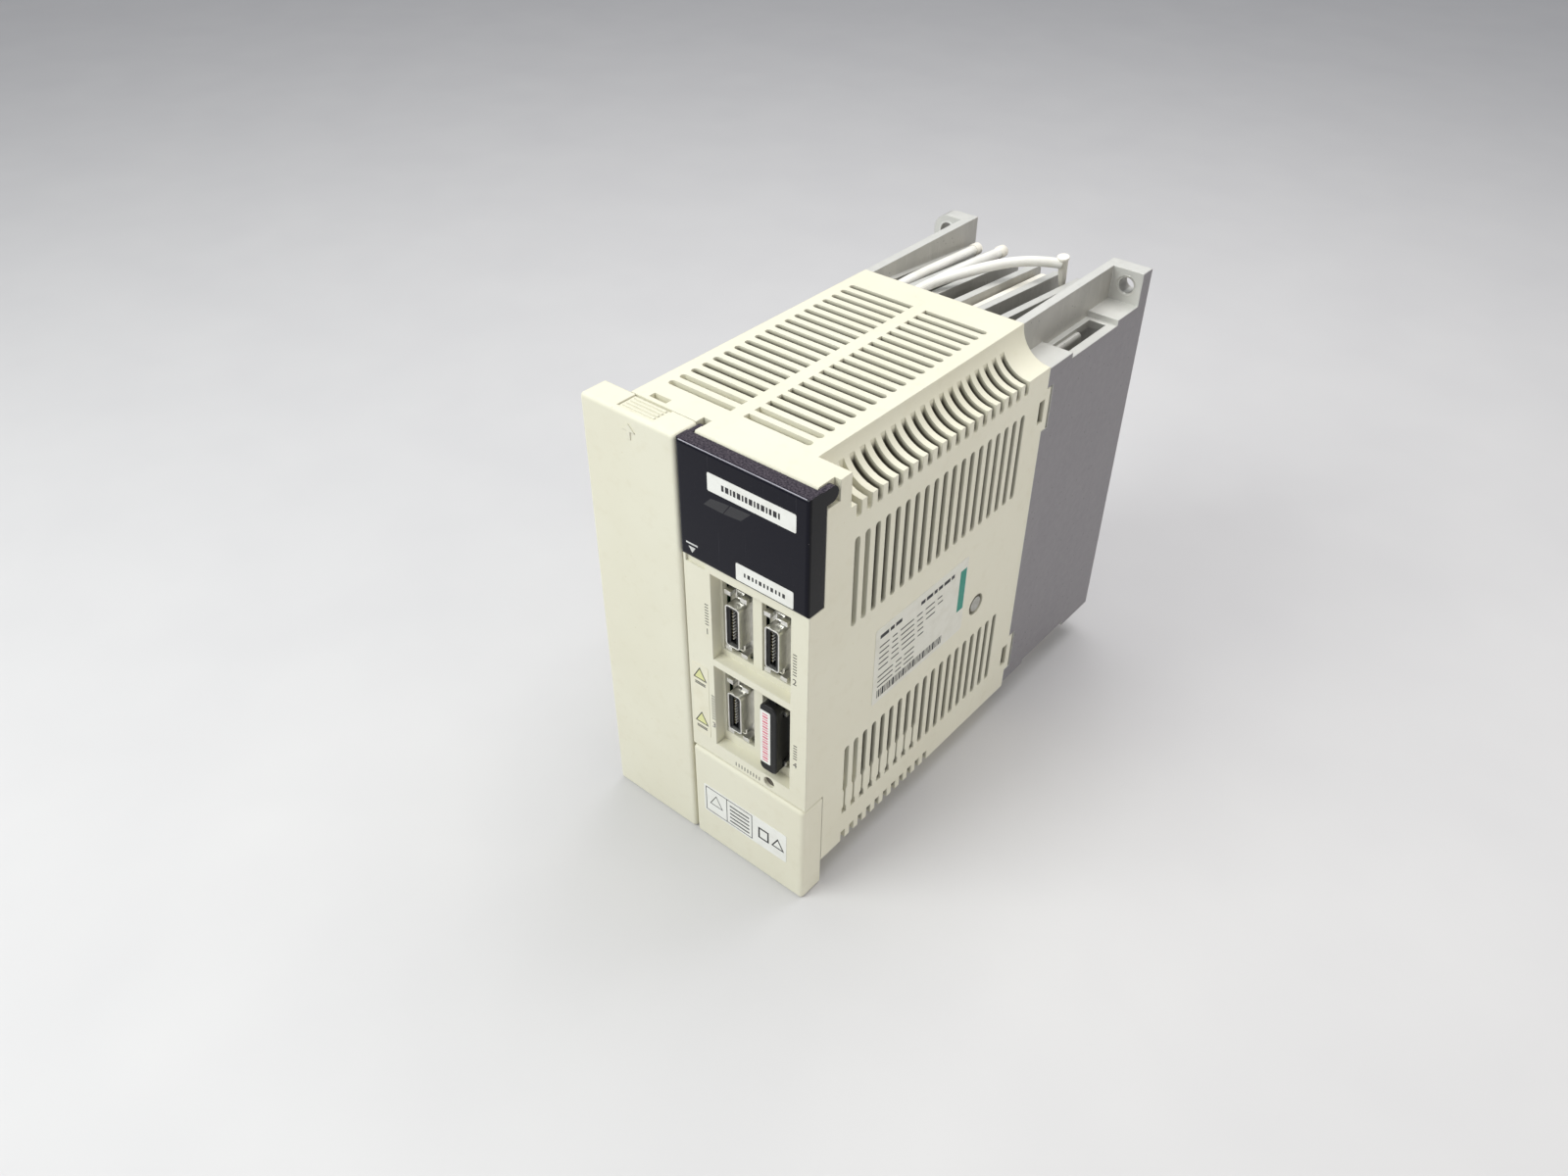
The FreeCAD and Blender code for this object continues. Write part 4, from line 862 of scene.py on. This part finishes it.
LEADS = {
    "resistor_lead_1": [
        (21, 109.8, 147), (21, 115, 149), (20.8, 122, 160.5), (20.7, 140, 161.5), (20.7, 165, 160.2),
        (20.2, 186, 158.5),
    ],
    "resistor_lead_2": [
        (27.5, 109.8, 147), (27.8, 115, 149), (29.2, 122, 159.6), (29.4, 138, 162.2), (30.5, 164, 161.9),
        (30.4, 188, 159.7),
    ],
    "resistor_lead_3": [
        (34, 110.1, 147), (33.6, 115, 150), (32, 123, 163.2), (32.2, 131, 164.8), (33.8, 141, 165.4),
        (42.5, 165.5, 165.9), (50, 176, 166), (57.65, 182.95, 165.1),
    ],
}
SLEEVED_END = (59.1, 184.2, 164.6)  # where the third lead ends, inside its sleeve
SLEEVE_TOP, SLEEVE_FOOT = (59.5, 184.6, 167.4), (59.5, 187, 155)


def lead(label, points):
    """A lead as one smooth curve that replaces its CAD node."""
    curve = bpy.data.curves.new(label, "CURVE")
    curve.dimensions = "3D"
    curve.bevel_depth, curve.bevel_resolution, curve.use_fill_caps = 1.9 * MM, 8, True
    line = curve.splines.new("NURBS")
    line.points.add(len(points) - 1)
    for point, place in zip(line.points, points):
        point.co = (*at(*place), 1)
    line.order_u, line.use_endpoint_u, line.resolution_u = 3, True, 16
    thing = bpy.data.objects.new(f"{label}_smooth", curve)
    bpy.context.scene.collection.objects.link(thing)
    settle(thing, "drive", FINISHES["lead_white"], label)


def lead_ends():
    """A cap on each of the first two leads, and the flared sleeve that takes the third one down."""
    cap = [(-0.4, 0), (-0.4, 2.1), (0.2, 2.35), (3.2, 2.35), (3.8, 2.0), (4, 1.2), (4, 0)]

    def caps(mesh):
        for label in ("resistor_lead_1", "resistor_lead_2"):
            before, start = (at(*point) for point in LEADS[label][-2:])
            lathe(mesh, start, start - before, cap)
    settle(mesh_piece("lead_caps_detailed", caps), "drive", CEMENT, "lead_caps")
    top, foot = at(*SLEEVE_TOP), at(*SLEEVE_FOOT)
    length = (foot - top).length / MM
    flared = [
        (0.1, 0), (0, 1.6), (0, 2.25), (0.5, 2.35), (1.0, 2.2), (1.4, 1.9), (length - 3, 1.45),
        (length - 0.3, 1.15), (length, 0.9), (length, 0),
    ]
    sleeve = mesh_piece("lead_sleeve_detailed", lambda mesh: lathe(mesh, top, foot - top, flared))
    settle(sleeve, "drive", CEMENT, "lead_sleeve")


def smooth(names):
    """Turned pieces are shaded round except across their corners."""
    for name in names:
        data = bpy.data.objects[name].data
        data.shade_smooth()
        data.set_sharp_from_angle(angle=math.radians(35))


add_camera()
add_studio()
paint_nodes()
window_edge()
window_labels()
panel_print()
connector_details()
plug_label()
cover_marks()
name_plate()
display_face()
terminal_figures()
all_screws()
lug_rings()
for label, points in LEADS.items():
    lead(label, points + [SLEEVED_END] if label == "resistor_lead_3" else points)
lead_ends()
smooth([thing.name for thing in bpy.context.scene.objects if thing.name.endswith("_detailed")])
